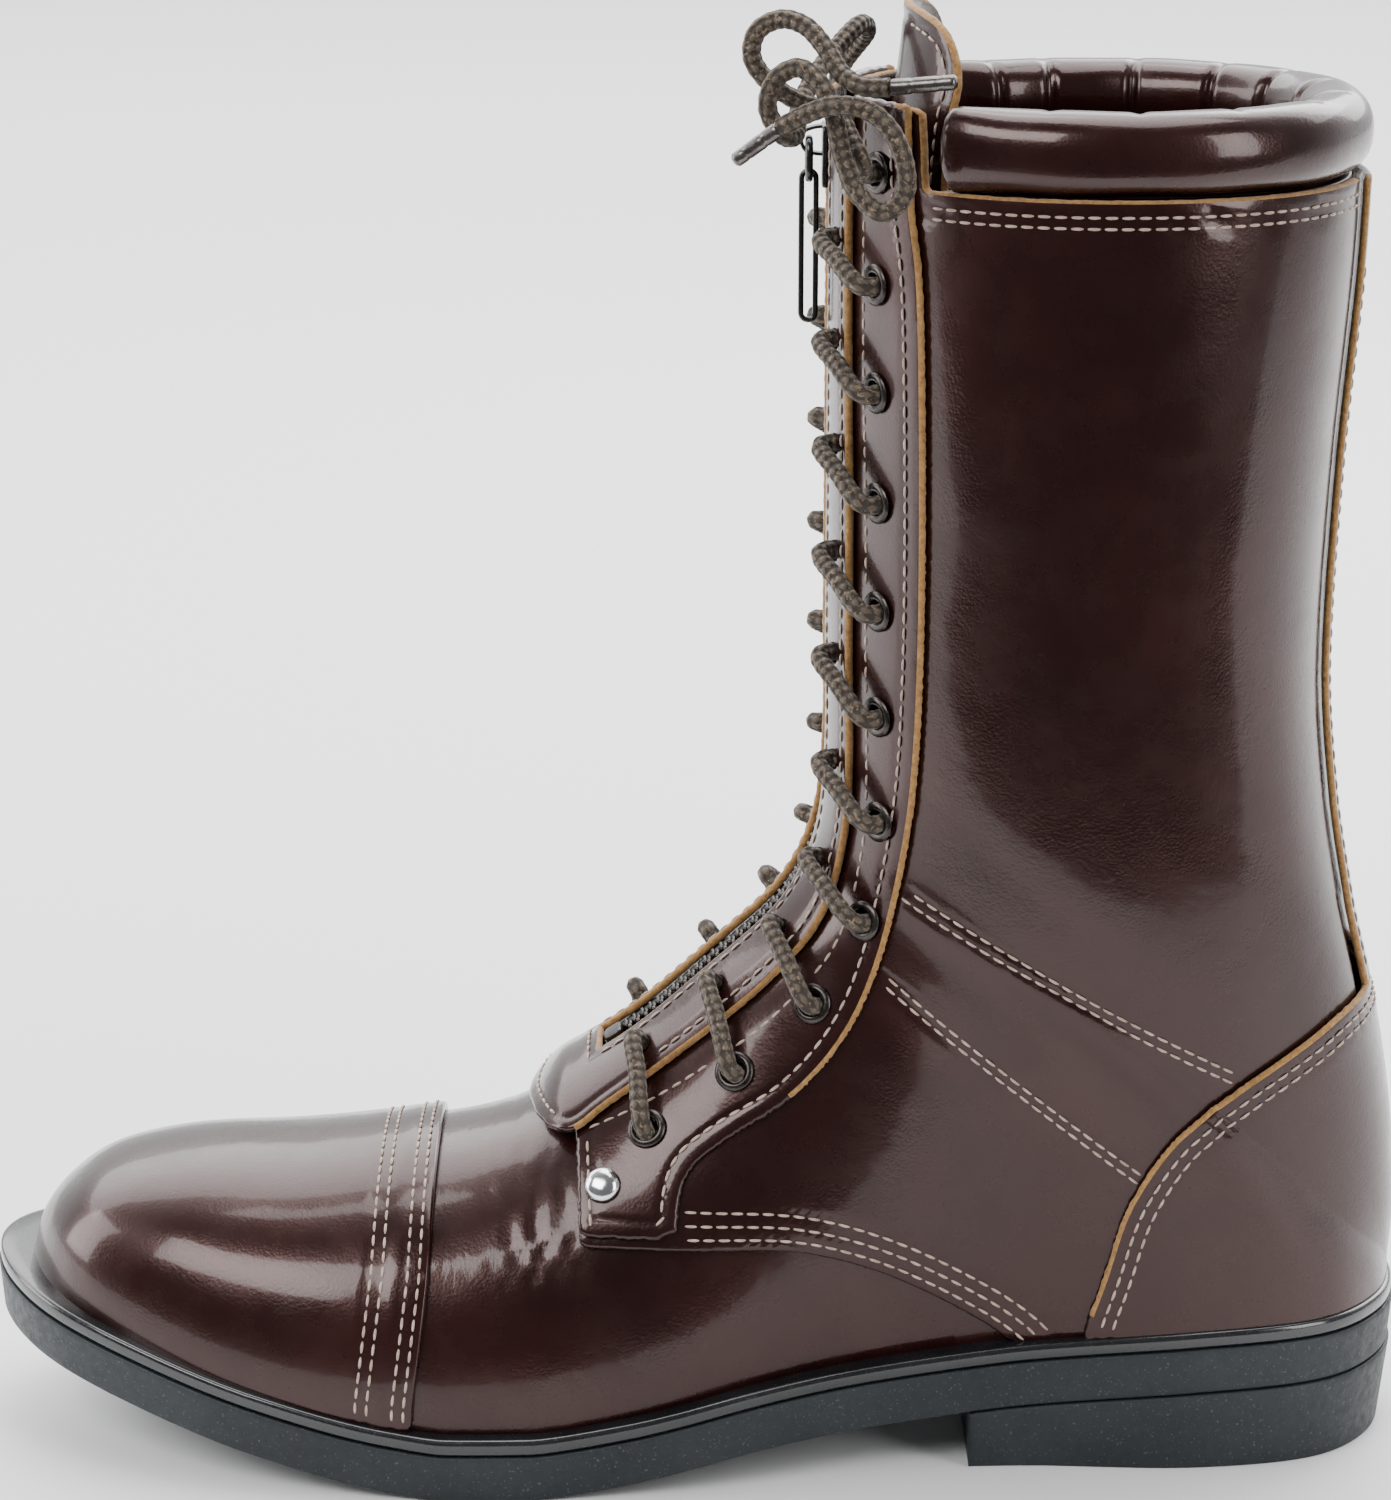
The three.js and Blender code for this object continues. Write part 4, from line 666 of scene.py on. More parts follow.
agletLook = plainLook("agletMetal", (0.10, 0.09, 0.085), (0.2, 0.18, 0.17), 200, (0.2, 0.35), 0.9, 900, 0.05)
print("materials made")

# seam lines, in side view
capSeam = np.array([[toeX + 94, -10], [toeX + 94.8, 20], [toeX + 98, 45], [toeX + 100.5, 90]])
quarterEdge = flowing([[-24, 52], [-2, 51.5], [20, 50.5], [38, 45.5], [55, 37], [68, 28], [78, 16]])
counterEdge = flowing([[80, 10], [83, 30], [87, 44], [92, 62], [101, 77], [114, 88.5], [127, 97], [139, 102],
                       [165, 104.5], [214, 104.5]])
eyestayEdge = flowing([[-3, 40], [-3.5, 56], [-1, 66], [7, 73], [21, 82.5], [32, 95], [40, 111], [45, 130],
                       [48, 152], [49, 180], [49, 215], [48, top - 37], [46, top - 16], [45, top + 28]])
tabOutline = flowing([[16, -20], [-4, -20], [-16, -21.5], [-25, -23.5], [-31.5, -16.5], [-35, 0],
    [-31.5, 16.5], [-25, 23.5], [-16, 21.5], [-4, 20], [16, 20]])
tongueTop = flowing([[-36, top - 30], [-34.5, top - 7], [-35.5, top + 3], [-33, top + 10], [-27, top + 14.5],
                     [-14, top + 16.7], [0, top + 17], [14, top + 16.7], [27, top + 14.5], [33, top + 10],
                     [35.5, top + 3], [34.5, top - 7], [36, top - 30]])


def poly(*parts):
    return np.concatenate([np.atleast_2d(np.asarray(part, float)) for part in parts])


capZone = poly([[-200, -10]], capSeam, [[toeX + 100.5, 400], [-200, 400]])
vampZone = poly([[-200, -10], [90, -10]], [p for p in shifted(quarterEdge, 12)[::-1] if p[0] > -12],
                [[-12, 64], [-12, 400], [-200, 400]])
quarterZone = poly(quarterEdge, [[300, 16], [300, 400], [-24, 400]])
counterZone = poly(counterEdge, [[214, -10]])
eyestayZone = poly([[-24, 53.5], [-3.4, 53.5]], [p for p in eyestayEdge if p[1] > 54],
                   [[-60, 320], [-60, 90], [-24, 76]])
panelZone = poly(tabOutline, [[73, 20], [73, -20]])
tongueZone = poly(tongueTop, [[36, 40], [-36, 40]])
heelZone = poly(shifted(counterEdge, 3), [[214, 107], [214, -10]])


def side(zone, p):
    return insideOf(zone, p[:, 0], p[:, 2])


def aboveWelt(p, sink=0.4):
    return p[:, 2] - feather(p[:, 0]) + sink


# levels above the last
quarterIn, quarterOut, overlayIn, overlayOut, panelIn, panelOut = 0.3, 2.3, 2.6, 4.2, 4.5, 6.3
lacePassage = 4.6
tongueOut = quarterIn - gap - lacePassage

# places of the eyelets, the strips' lace holes and the rivets
eyelet = dict(perSide=11, first=8.02, topHeight=top - 15, flange=8.6,
    seat=overlayOut + 0.5, thick=0.5)
hole = dict(reach=13.8, lead=5, width=6)


def eyeletReach(s):
    return mix(30.5, 29, ease((s - 8) / 3))


def evenSections():
    s = np.arange(eyelet["first"], topSection, 0.02)
    p, _ = onLast(s, roundReach(s, eyeletReach(s), -1))
    run = np.concatenate([[0], np.cumsum(np.linalg.norm(np.diff(p, axis=0), axis=1))])
    end = int(np.argmax(p[:, 2] >= eyelet["topHeight"]))
    wanted = np.linspace(0, run[end], eyelet["perSide"])
    return s[np.searchsorted(run[:end + 1], wanted - 1e-6)]


eyeletSections = evenSections()
a, _ = onLast(eyeletSections - 0.5, roundReach(eyeletSections - 0.5, hole["reach"], -1))
b, _ = onLast(eyeletSections + 0.5, roundReach(eyeletSections + 0.5, hole["reach"], -1))
holeSections = eyeletSections + hole["lead"] / np.linalg.norm(b - a, axis=1)
sides = dict(lateral=-1, medial=1)
eyeletAt = {n: onLast(eyeletSections, roundReach(eyeletSections, eyeletReach(eyeletSections), k))
            for n, k in sides.items()}
holeAt = {n: onLast(holeSections, roundReach(holeSections, hole["reach"], k)) for n, k in sides.items()}


def clearOfHoles(p, places, width):  # distance to the nearest hole's rim, negative in the hole
    best = np.full(len(p), 99.0)
    for at, normal in places.values():
        for c, n in zip(at, normal):
            r = p - c
            best = np.minimum(best, np.linalg.norm(r - (r @ n)[:, None] * n, axis=1) - width / 2)
    return best


panelHalf = 20


def sideOf(p, sign):
    return sign * p[:, 1] - 0.15


def away(p, half):
    return np.abs(p[:, 1]) - half


def groove(d, at, width=0.55, deep=0.28):  # the thread pulls the leather down along a row
    return -deep * sum(np.exp(-((d - a) / width) ** 2) for a in at)


def softEdge(d, drop=0.3, over=1.6):  # leather thins towards its rim
    return -drop * np.exp(-np.maximum(d, 0) / over)


# laces
def evenCurve(points, spacing):
    # centripetal Catmull-Rom through the points, resampled evenly
    p = np.asarray(points, float)
    p = np.concatenate([[2 * p[0] - p[1]], p, [2 * p[-1] - p[-2]]])
    t = np.linspace(0, 1, 41)[:-1][:, None]
    made = []
    for a, b, c, d in zip(p[:-3], p[1:-2], p[2:-1], p[3:]):
        x, y, z = [math.sqrt(np.linalg.norm(v)) for v in (b - a, c - b, d - c)]
        m = ((b - a) / x - (c - a) / (x + y) + (c - b) / y) * y
        n = ((c - b) / y - (d - b) / (y + z) + (d - c) / z) * y
        made.append(b + m * t + (3 * (c - b) - 2 * m - n) * t ** 2 + (2 * (b - c) + m + n) * t ** 3)
    line = np.concatenate(made + [p[-2:-1]])
    run = np.concatenate([[0], np.cumsum(np.linalg.norm(np.diff(line, axis=0), axis=1))])
    at = np.linspace(0, run[-1], int(run[-1] / spacing) + 1)
    return np.stack([np.interp(at, run, line[:, k]) for k in range(3)], 1), run[-1]


def carried(line, closed=False):  # two cross directions at each point of a line, turned as little as can be
    tangent = unit(np.roll(line, -1, 0) - np.roll(line, 1, 0)) if closed else unit(np.gradient(line, axis=0))
    side = np.cross(tangent[0], [0.13, 0.97, 0.21])
    sideways = []
    for t in tangent:
        side = unit(side - (side @ t) * t)
        sideways.append(side)
    sideways = np.array(sideways)
    return sideways, np.cross(tangent, sideways)


def tube(name, line, radius, materials, around=12, closed=False, relief=None, uv=None):
    a, b = carried(line, closed)
    angle = np.arange(around) / around * 2 * math.pi
    r = radius if relief is None else radius + relief(angle[None], np.arange(len(line))[:, None])
    r = np.broadcast_to(r, (len(line), around))[..., None]
    points = line[:, None] + r * (np.cos(angle)[None, :, None] * a[:, None] + np.sin(angle)[None, :, None]
        * b[:, None])
    faces = [ringFaces(len(line), around, closed)]
    if not closed:
        ends = np.arange(around)
        faces.append(np.stack([ends[::-1], (len(line) - 1) * around + ends]))
    return makeMesh(name, points.reshape(-1, 3), faces, materials, uv=uv)


cord = dict(width=4, strands=7, around=28, step=0.5, pitch=4.4, relief=0.13, under=-2.3, rise=7.6, over=9.0)


def spot(s, far, sign, level):
    return placed(np.array([s]), roundReach(s, far, sign), np.array([level]))[0]


def threaded(name):
    # in at the bottom, then up through each eyelet, over the strip's edge, down its hole and on under
    sign = sides[name]
    at, normal = eyeletAt[name]
    hollow, hollowNormal = holeAt[name]
    at, hollow = swung(at), swung(hollow)
    points = [spot(eyeletSections[0] + 0.12, 24, sign, cord["under"])]
    for k in range(eyelet["perSide"]):
        points += [at[k] + normal[k] * cord["under"], at[k] + normal[k] * cord["rise"]]
        if k == eyelet["perSide"] - 1:
            break
        points.append(spot(mix(eyeletSections[k], holeSections[k], 0.6), panelHalf + 1.5, sign, cord["over"]))
        points += [hollow[k] + hollowNormal[k] * cord["over"], hollow[k] + hollowNormal[k] * cord["under"]]
        points.append(spot((holeSections[k] + eyeletSections[k + 1]) / 2, 24, sign, cord["under"]))
    return points


bowMiddle = np.array([front, 0, eyelet["topHeight"]])
bows = dict(lateral=[[-0.3, -40, 4], [-2.8, -35.5, 9], [-5.3, -31, 13], [-11.3, -27.5, 14], [-18.3, -26, 18],
    [-21.8, -25, 23], [-20.8, -25, 28], [-16.3, -26, 30.5], [-11.3, -29, 29.5], [-7.3, -33, 25.5],
    [-4.3, -37, 21], [-0.3, -41, 19], [4.7, -43, 19]], medial=[[-0.8, 38.5, 4], [-2.8, 31, 13],
    [2.7, 19, 23.5], [0.7, 9, 26], [-5.3, -1, 21], [-9.8, -11, 16], [-12.3, -19, 11.5], [-13.3, -27, 7.5],
    [-16.3, -33, 9], [-18.8, -34, 14], [-17.3, -34, 19.5], [-12.8, -35.5, 22], [-8.3, -39, 19],
    [-5.8, -42, 13], [-4.3, -44, 6], [-1.3, -47, -1], [3.7, -49.5, -4.5], [7.7, -50, -1], [7.7, -50, 5],
    [5.2, -49, 11], [0.7, -47, 15], [-5.3, -46.5, 16], [-11.3, -43.5, 14], [-16.3, -41, 11]])
tips = dict(lateral=[17.7, -46.5, 20.5], medial=[-25.3, -38, 4])
for name in sides:
    free = np.array(bows[name]) + bowMiddle
    line, long = evenCurve(np.concatenate([threaded(name), free]), cord["step"])
    rows = np.arange(len(line)) * long / (len(line) - 1) / cord["pitch"]

    def braid(angle, row, rows=rows):  # two sets of slanted waves cross, so each strand shows as a lozenge
        turn = cord["strands"] * angle
        along = 2 * math.pi * rows[row] * 2
        return cord["relief"] * np.sin((turn + along) / 2) * np.sin((turn - along) / 2)
    angles = np.arange(cord["around"]) / cord["around"]
    uv = np.stack(np.broadcast_arrays(cord["strands"] * angles[None] / 2, rows[:, None]), -1).reshape(-1, 2)
    piece = tube("lace" + name.title(), line, cord["width"] / 2 - 0.1, [lace], cord["around"], relief=braid,
        uv=uv)
    finishPiece(piece, "boot", "lace_cord", "lace_" + name)

    tip = np.array(tips[name]) + bowMiddle
    tipWay = unit(tip - free[-1])
    start = free[-1] + tipWay * 0.4
    far = np.linalg.norm(tip - start)
    metal = np.linspace(0, 1, 25)[:, None]
    crimp = np.interp(metal[:, 0], [0, 0.04, 0.3, 0.34, 0.38, 0.7, 0.74, 0.78, 0.96, 1], [
        1.5, 1.65, 1.6, 1.42, 1.58, 1.55, 1.38, 1.55, 1.5, 1.05])
    agletPiece = tube("aglet" + name.title(), start + (tip - start) * metal, crimp[:, None], [agletLook], 20)
    finishPiece(agletPiece, "boot", "aglet_metal", "aglet_" + name)
print("laces made")


# leather sheets
capSpec = dict(sections=(0, 8), cell=1.3, inner=quarterIn, outer=quarterOut, bulge=0.5, paceAt=(0, 0.5, 1),
               zone=lambda p: np.minimum(side(capZone, p) - 0.5, aboveWelt(p)),
               relief=lambda p, d: groove(side(capZone, p), (1.9, 4.3, 9.6, 12.0)) * (side(capZone, p) < 15)
               + softEdge(side(capZone, p), 0.35, 1.2))
finishPiece(makeSheet("toeCap", capSpec, [leather, darkEdge]), "boot", "upper_leather", "toe_cap")

creases = dict(centre=(-32, 56), spreadX=9, spreadZ=12, deep=0.27)


def vampRelief(p, d):
    # flex folds behind the cap: slanted waves, fading out from the middle of the bend on each side
    x, y, z = p.T
    fade = np.exp(-((x - creases["centre"][0]) / creases["spreadX"]) ** 2
                  - ((z - creases["centre"][1]) / creases["spreadZ"]) ** 2)
    waves = np.sin((x + 0.55 * z) * 0.93 + 1.6 * np.sin(z * 0.19 + y * 0.05)) \
        + 0.7 * np.sin((x - 0.35 * z) * 1.31 + 1.3 * np.sin(z * 0.31)) + 0.4 * np.sin(x * 2.3 + z * 0.7)
    return creases["deep"] * fade * np.minimum(waves, 0.2)


vampSpec = dict(sections=(3.5, 12), cell=1.4, inner=-2, outer=0, bulge=0.4,
    zone=lambda p: np.minimum.reduce([side(vampZone, p), -side(capZone, p) + 11.7, -side(heelZone, p),
    aboveWelt(p)]), relief=vampRelief)
finishPiece(makeSheet("vamp", vampSpec, [creasedLeather, darkEdge]), "boot", "upper_leather", "vamp")

for name, sign in sides.items():
    u = (-1, -0.03) if sign < 0 else (0.03, 1)

    def quarterPlan(p, sign=sign):
        # below the collar, behind the strips, above the welt, with a hole for each eyelet
        behind = np.where(side(eyestayZone, p) > -0.3, 99, quarterTop - 0.3 - p[:, 2])
        return np.minimum.reduce([side(quarterZone, p) - 0.5, away(p, 17.5), sideOf(p, sign), aboveWelt(p),
            top - 1.5 - p[:, 2], behind, clearOfHoles(p, {name: eyeletAt[name]}, 6.2)])

    def quarterRelief(p, d):
        low = side(quarterZone, p)
        collarLine = quarterTop - p[:, 2]
        ankle = sum(np.exp(-(np.abs(ankleDistance(p, k)) / 0.55) ** 2) for k in range(4))
        return groove(low, (2.2, 4.9, 7.6)) * (p[:, 0] < 82) + softEdge(low, 0.3) \
            + groove(collarLine, (3.0, 5.2)) * (p[:, 0] > 40) - 0.26 * ankle

    ankleLines = [[(46, 128.6), (113, 90.6)], [(46, 126.2), (113, 88.2)], [(40, 110.6), (93, 68.6)],
                  [(40, 108.2), (93, 66.2)]]

    def ankleDistance(p, k):
        (x0, z0), (x1, z1) = ankleLines[k]
        run = math.hypot(x1 - x0, z1 - z0)
        across = ((p[:, 2] - z0) * (x1 - x0) - (p[:, 0] - x0) * (z1 - z0)) / run
        along = ((p[:, 0] - x0) * (x1 - x0) + (p[:, 2] - z0) * (z1 - z0)) / run
        return np.where((along < -1) | (along > run + 1), 9, across)

    spec = dict(sections=(6, 16), round=u, cell=1.75, inner=quarterIn, outer=quarterOut, bulge=0.6, fray=0.5,
                zone=quarterPlan, relief=quarterRelief, raw=lambda p: p[:, 2] > 270)
    finishPiece(makeSheet("quarter" + name.title(), spec, [leather, rawEdge]), "boot", "upper_leather",
                "quarter_" + name)

    def eyestayPlan(p, sign=sign):
        return np.minimum.reduce([side(eyestayZone, p) - 1.0, away(p, 17.8), sideOf(p, sign),
            top - 1 - p[:, 2], clearOfHoles(p, {name: eyeletAt[name]}, 6.2)])

    stay = dict(sections=(6, 16), round=(-0.62, -0.03) if sign < 0 else (0.03, 0.62), cell=1.15,
        inner=overlayIn, outer=overlayOut, bulge=1.0, fray=1.0, zone=eyestayPlan, relief=lambda p,
        d: groove(side(eyestayZone, p), (3.4,)) + softEdge(side(eyestayZone, p), 0.25),
        raw=lambda p: (p[:, 0] > 20) & (side(eyestayZone, p) < 2.5))
    finishPiece(makeSheet("eyestay" + name.title(), stay, [leather, rawEdge]), "boot", "upper_leather",
                "eyestay_" + name)

counterSpec = dict(sections=(9.5, 13.8), cell=1.3, inner=overlayIn, outer=overlayOut, bulge=0.9, fray=0.8,
    paceAt=(0.8, 1), zone=lambda p: np.minimum(side(counterZone, p) - 0.9, aboveWelt(p)), relief=lambda p,
    d: groove(side(counterZone, p), (3.2, 5.6)) + softEdge(side(counterZone, p)), raw=lambda p: p[:, 2] > 36)
finishPiece(makeSheet("counterCover", counterSpec, [leather, rawEdge]), "boot", "upper_leather",
    "counter_cover")

backstayHalf = 15
backSpec = dict(sections=(12.6, 15.9), cell=1.1, inner=overlayIn, outer=overlayOut, bulge=1.0, fray=1.0,
                paceAt=(0.9, 1),
                zone=lambda p: np.minimum.reduce([backstayHalf - 1 - np.abs(p[:, 1]), p[:, 0] - 60,
                                                  quarterTop - 1 - p[:, 2], -side(counterZone, p) - 0.4]),
                relief=lambda p, d: groove(backstayHalf - np.abs(p[:, 1]), (3.2,)),
                raw=lambda p: np.abs(p[:, 1]) > 10)
finishPiece(makeSheet("backstay", backSpec, [leather, rawEdge]), "boot", "upper_leather", "backstay")

# zip panel: two strips joined by a rounded tab that lies down on the vamp
panel = dict(half=panelHalf, slotHalf=6.2, slotEnd=-17, tabEnd=-35)


def panelRise(p):
    return ease((p[:, 0] - (panel["tabEnd"] - 3)) / 13)


def panelPlan(p):
    outlineGap = insideOf(panelZone, p[:, 0], p[:, 1])
    slot = np.maximum(np.abs(p[:, 1]) - panel["slotHalf"], panel["slotEnd"] - p[:, 0])
    return np.minimum.reduce([outlineGap - 0.9, slot - 0.7, top - 2.5 - p[:, 2],
                              clearOfHoles(p, holeAt, hole["width"] - 0.8)])


def panelLevel(level):
    return lambda p: mix(gap + level - panelIn, level, panelRise(p))


def panelRelief(p, d):
    outlineGap = insideOf(panelZone, p[:, 0], p[:, 1])
    slot = np.maximum(np.abs(p[:, 1]) - panel["slotHalf"], panel["slotEnd"] - p[:, 0])
    return groove(outlineGap, (2.6,), 0.5, 0.24) + groove(slot, (2.4,), 0.5, 0.24)


panelSpec = dict(sections=(6, 16), round=(-0.34, 0.34), cell=0.95, paceAt=(0, 0.2), inner=panelLevel(panelIn),
    outer=panelLevel(panelOut), bulge=0.8, fray=0.8, zone=panelPlan, relief=panelRelief,
    raw=lambda p: (p[:, 0] > -24) & (panelPlan(p) < clearOfHoles(p, holeAt, hole["width"] - 0.8) - 0.5))
finishPiece(makeSheet("zipPanel", panelSpec, [leather, rawEdge]), "boot", "upper_leather", "zip_panel")


# tongue
def tongueLevel(level):
    return lambda p: level - 5 * ease((p[:, 2] - top + 30) / 50)


tongueSpec = dict(sections=(7, 16), round=(-0.5, 0.5), cell=1.5, inner=tongueLevel(tongueOut - 1.9),
                  outer=tongueLevel(tongueOut), bulge=0.8, fray=1.0, paceAt=(0, 0.3),
                  zone=lambda p: np.minimum.reduce([
                      insideOf(tongueZone, p[:, 1], p[:, 2]) - 0.8, p[:, 0] + 24,
                      side(poly([[-24, 64], [20, 64], [58, 100], [66, 140], [66, 400], [-24, 400]]), p)]),
                  relief=lambda p, d: groove(insideOf(tongueZone, p[:, 1], p[:, 2]), (3.6,)),
                  raw=lambda p: p[:, 2] > 200)
finishPiece(makeSheet("tongue", tongueSpec, [leather, rawEdge]), "boot", "upper_leather", "tongue")

# linings and stiffeners, seen only down inside the shaft
inside = [
    ("vampLining", (0, 12), -3.8, -2.3, liningLeather, "lining_leather", "vamp_lining",
     lambda p: np.minimum.reduce([side(vampZone, p), -side(heelZone, p) - gap, aboveWelt(p, -gap)])),
    ("shaftLining", (7, 16), -2.0, -0.0, liningLeather, "lining_leather", "shaft_lining",
     lambda p: np.minimum.reduce([quarterTop - p[:, 2], -side(heelZone, p) - gap, -side(vampZone, p) - gap,
                                  np.maximum(away(p, 37.5), p[:, 0] - 60), aboveWelt(p, -gap)])),
    ("heelCounter", (8, 16), -2.0, 0.0, boardLook, "stiffener_board", "heel_counter",
     lambda p: np.minimum(side(heelZone, p), aboveWelt(p, -gap))),
    ("heelLining", (8, 16), -3.8, -2.3, liningLeather, "lining_leather", "heel_lining",
     lambda p: np.minimum(side(heelZone, p), aboveWelt(p, -gap))),
    ("toePuff", (0, 8), -2.0, 0.0, boardLook, "stiffener_board", "toe_puff",
     lambda p: np.minimum(side(capZone, p) - 12, aboveWelt(p, -gap)))]
for pieceName, span, low, high, look, slotName, node, plan in inside:
    spec = dict(sections=span, cell=3.2, inner=low, outer=high, bulge=0.3, zone=plan)
    finishPiece(makeSheet(pieceName, spec, [look, look]), "boot", slotName, node)
print("leather sheets made")


# stitching
def crossing(f, low, high, at):
    # for each place at[k], the number between low and high where f(number, place) changes sign, by halving
    lo, hi = np.full(len(at), float(low)), np.full(len(at), float(high))
    first, final = f(lo, at), f(hi, at)
    for _ in range(26):
        middle = (lo + hi) / 2
        same = (f(middle, at) > 0) == (first > 0)
        lo, hi = np.where(same, middle, lo), np.where(same, hi, middle)
    return (lo + hi) / 2, (first > 0) != (final > 0)


def rowAlong(plan, span, reachSpan, sign, count=260):  # a seam that runs along the boot
    s = np.linspace(*span, count)
    t, found = crossing(lambda t, s: plan(onLast(s, sign * t)[0]), *reachSpan, s)
    return s[found], sign * t[found]


def rowAcross(plan, roundSpan, span, count=260):  # a seam that runs round the boot
    u = np.linspace(*roundSpan, count)
    s, found = crossing(lambda s, u: plan(onLast(s, u)[0]), *span, u)
    return s[found], u[found]


stitch = dict(pitch=3.3, long=2.55, wide=0.62, high=0.52)


def stitchesOn(rows):
    # each stitch is a small lens: rings of six points whose radius swells and closes along its length
    centres, tangents, normals = [], [], []
    for s, u, level, keep in rows:
        if len(s) < 4:
            continue
        p, n = onLast(s, u)
        q = swung(p) + n * (level(p) if callable(level) else np.full(len(p), level))[:, None]
        good = keep(p) if keep else np.ones(len(p), bool)
        run = np.concatenate([[0], np.cumsum(np.linalg.norm(np.diff(q, axis=0), axis=1))])
        at = np.arange(stitch["pitch"] / 2, run[-1], stitch["pitch"])
        pick = np.interp(at, run, good.astype(float)) > 0.99

        def along(values, where):
            return np.stack([np.interp(where, run, values[:, k]) for k in range(3)], 1)
        centres.append(along(q, at)[pick])
        tangents.append(unit(along(q, at + 0.6) - along(q, at - 0.6))[pick])
        normals.append(unit(along(n, at))[pick])
    c, t, n = [np.concatenate(v) for v in (centres, tangents, normals)]
    b = unit(np.cross(n, t))
    n = np.cross(t, b)
    where = np.array([-1, -0.86, -0.45, 0, 0.45, 0.86, 1])
    swell = np.array([0.12, 0.62, 0.95, 1, 0.95, 0.62, 0.12])
    angle = np.arange(6) / 6 * 2 * math.pi
    x = np.repeat(where * stitch["long"] / 2, 6)
    y = (swell[:, None] * np.cos(angle) * stitch["wide"] / 2).ravel()
    z = (swell[:, None] * np.sin(angle) * stitch["high"] / 2).ravel() - 0.22 * np.repeat(where ** 4, 6)
    points = c[:, None] + x[None, :, None] * t[:, None] + y[None, :, None] * b[:, None] + z[None, :,
        None] * n[:, None]
    size = len(x)
    shape = ringFaces(7, 6)
    offsets = (np.arange(len(c)) * size)[:, None, None]
    caps = np.array([[5, 4, 3, 2, 1, 0], [36, 37, 38, 39, 40, 41]])
    return points.reshape(-1, 3), [(shape + offsets).reshape(-1, 4), (caps + offsets).reshape(-1, 6)]


def sewn(name, rows):
    points, faces = stitchesOn(rows)
    finishPiece(makeMesh(name, points, faces, [thread]), "boot", "upper_leather")
    print("stitching", name, len(points) // 42)


both = (-1, 1)
lift = 0.06
sewn("capStitching", [
    (*rowAcross(lambda p, e=e: side(capZone, p) - e, (-0.99, 0.99), (3.6, 7.9), 420), quarterOut + lift,
     lambda p: aboveWelt(p) > 1) for e in (1.9, 4.3, 9.6, 12.0)])
rows = []
for sign in both:
    for e in (2.2, 4.9, 7.6):
        rows.append((*rowAlong(lambda p, e=e: side(quarterZone, p) - e, (6.15, 10.2), (0.25, 1), sign),
                     quarterOut + lift, lambda p: (p[:, 0] > -22) & (aboveWelt(p) > 1)
                     & ((side(eyestayZone, p) < -0.5) | (p[:, 2] < 53.2)) & (side(counterZone, p) < -1)))


def straightDistance(p, k):
    (x0, z0), (x1, z1) = ankleLines[k]
    return ((p[:, 2] - z0) * (x1 - x0) - (p[:, 0] - x0) * (z1 - z0)) / math.hypot(x1 - x0, z1 - z0)


for sign in both:
    ends = (0.2, 0.9) if sign > 0 else (-0.9, -0.2)
    for k in range(4):
        rows.append((*rowAcross(lambda p, k=k: straightDistance(p, k), ends, (9.0, 13.8)), quarterOut + lift,
                     lambda p, k=k: (ankleDistance(p, k) < 8) & (side(eyestayZone, p) < -0.6)
                     & (side(counterZone, p) < -0.6)))
    ends = (0.2, 1) if sign > 0 else (-1, -0.2)
    for e in (3.0, 5.2):
        rows.append((*rowAcross(lambda p, e=e: quarterTop - e - p[:, 2], ends, (14.2, 16)), quarterOut + lift,
                     lambda p: (side(eyestayZone, p) < -0.6) & ((np.abs(p[:, 1]) > backstayHalf + 1)
                                                              | (p[:, 0] < 90))))
sewn("quarterStitching", rows)
rows = []
for sign in both:
    rows.append((*rowAlong(lambda p: side(eyestayZone, p) - 3.4, (7.9, 15.65), (0.15, 0.62), sign, 420),
                 overlayOut + lift, lambda p: p[:, 2] < top - 3))
    rows.append((*rowAlong(lambda p: away(p, 23.2), (7.6, 15.65), (0.02, 0.45), sign, 420), overlayOut + lift,
                 lambda p: (p[:, 2] < top - 3) & (side(eyestayZone, p) > 3)
                 & (clearOfHoles(p, eyeletAt, eyelet["flange"] + 1) > 0)))
    ends = (0.32, 0.75) if sign > 0 else (-0.75, -0.32)
    rows.append((*rowAcross(lambda p: p[:, 0] + 21.4, ends, (5.5, 8.5)), overlayOut + lift,
                 lambda p: (p[:, 2] > 55) & (p[:, 2] < 70)))
sewn("eyestayStitching", rows)
sewn("counterStitching", [(*rowAlong(lambda p, e=e: side(counterZone, p) - e, (10.0, 13.4), (0.3, 1), sign),
    overlayOut + lift, lambda p: aboveWelt(p) > 1) for sign in both for e in (3.2, 5.6)]
    + [(*rowAlong(lambda p: np.abs(p[:, 1]) - backstayHalf + 3.2, (13.0, 15.35), (0.8, 1), sign),
    overlayOut + lift, lambda p: (side(counterZone, p) < -2) & (p[:, 2] < quarterTop - 3)) for sign in both])
stripLevel = panelLevel(panelOut + lift)
rows = []
for sign in both:
    rows.append((*rowAlong(lambda p: panel["half"] - 2.6 - np.abs(p[:, 1]), (7.7, 15.6), (0, 0.34), sign,
        420), stripLevel, lambda p: (p[:, 0] > -4) & (p[:, 2] < top - 4)))
    rows.append((*rowAlong(lambda p: np.abs(p[:, 1]) - panel["slotHalf"] - 2.4, (7.7, 15.6), (0, 0.3), sign,
        420), stripLevel, lambda p: (p[:, 0] > panel["slotEnd"] - 1) & (p[:, 2] < top - 4)))
rows.append((*rowAcross(lambda p: insideOf(panelZone, p[:, 0], p[:, 1]) - 2.6, (-0.3, 0.3), (6.4, 8.2), 300),
             stripLevel, lambda p: p[:, 0] < -5))
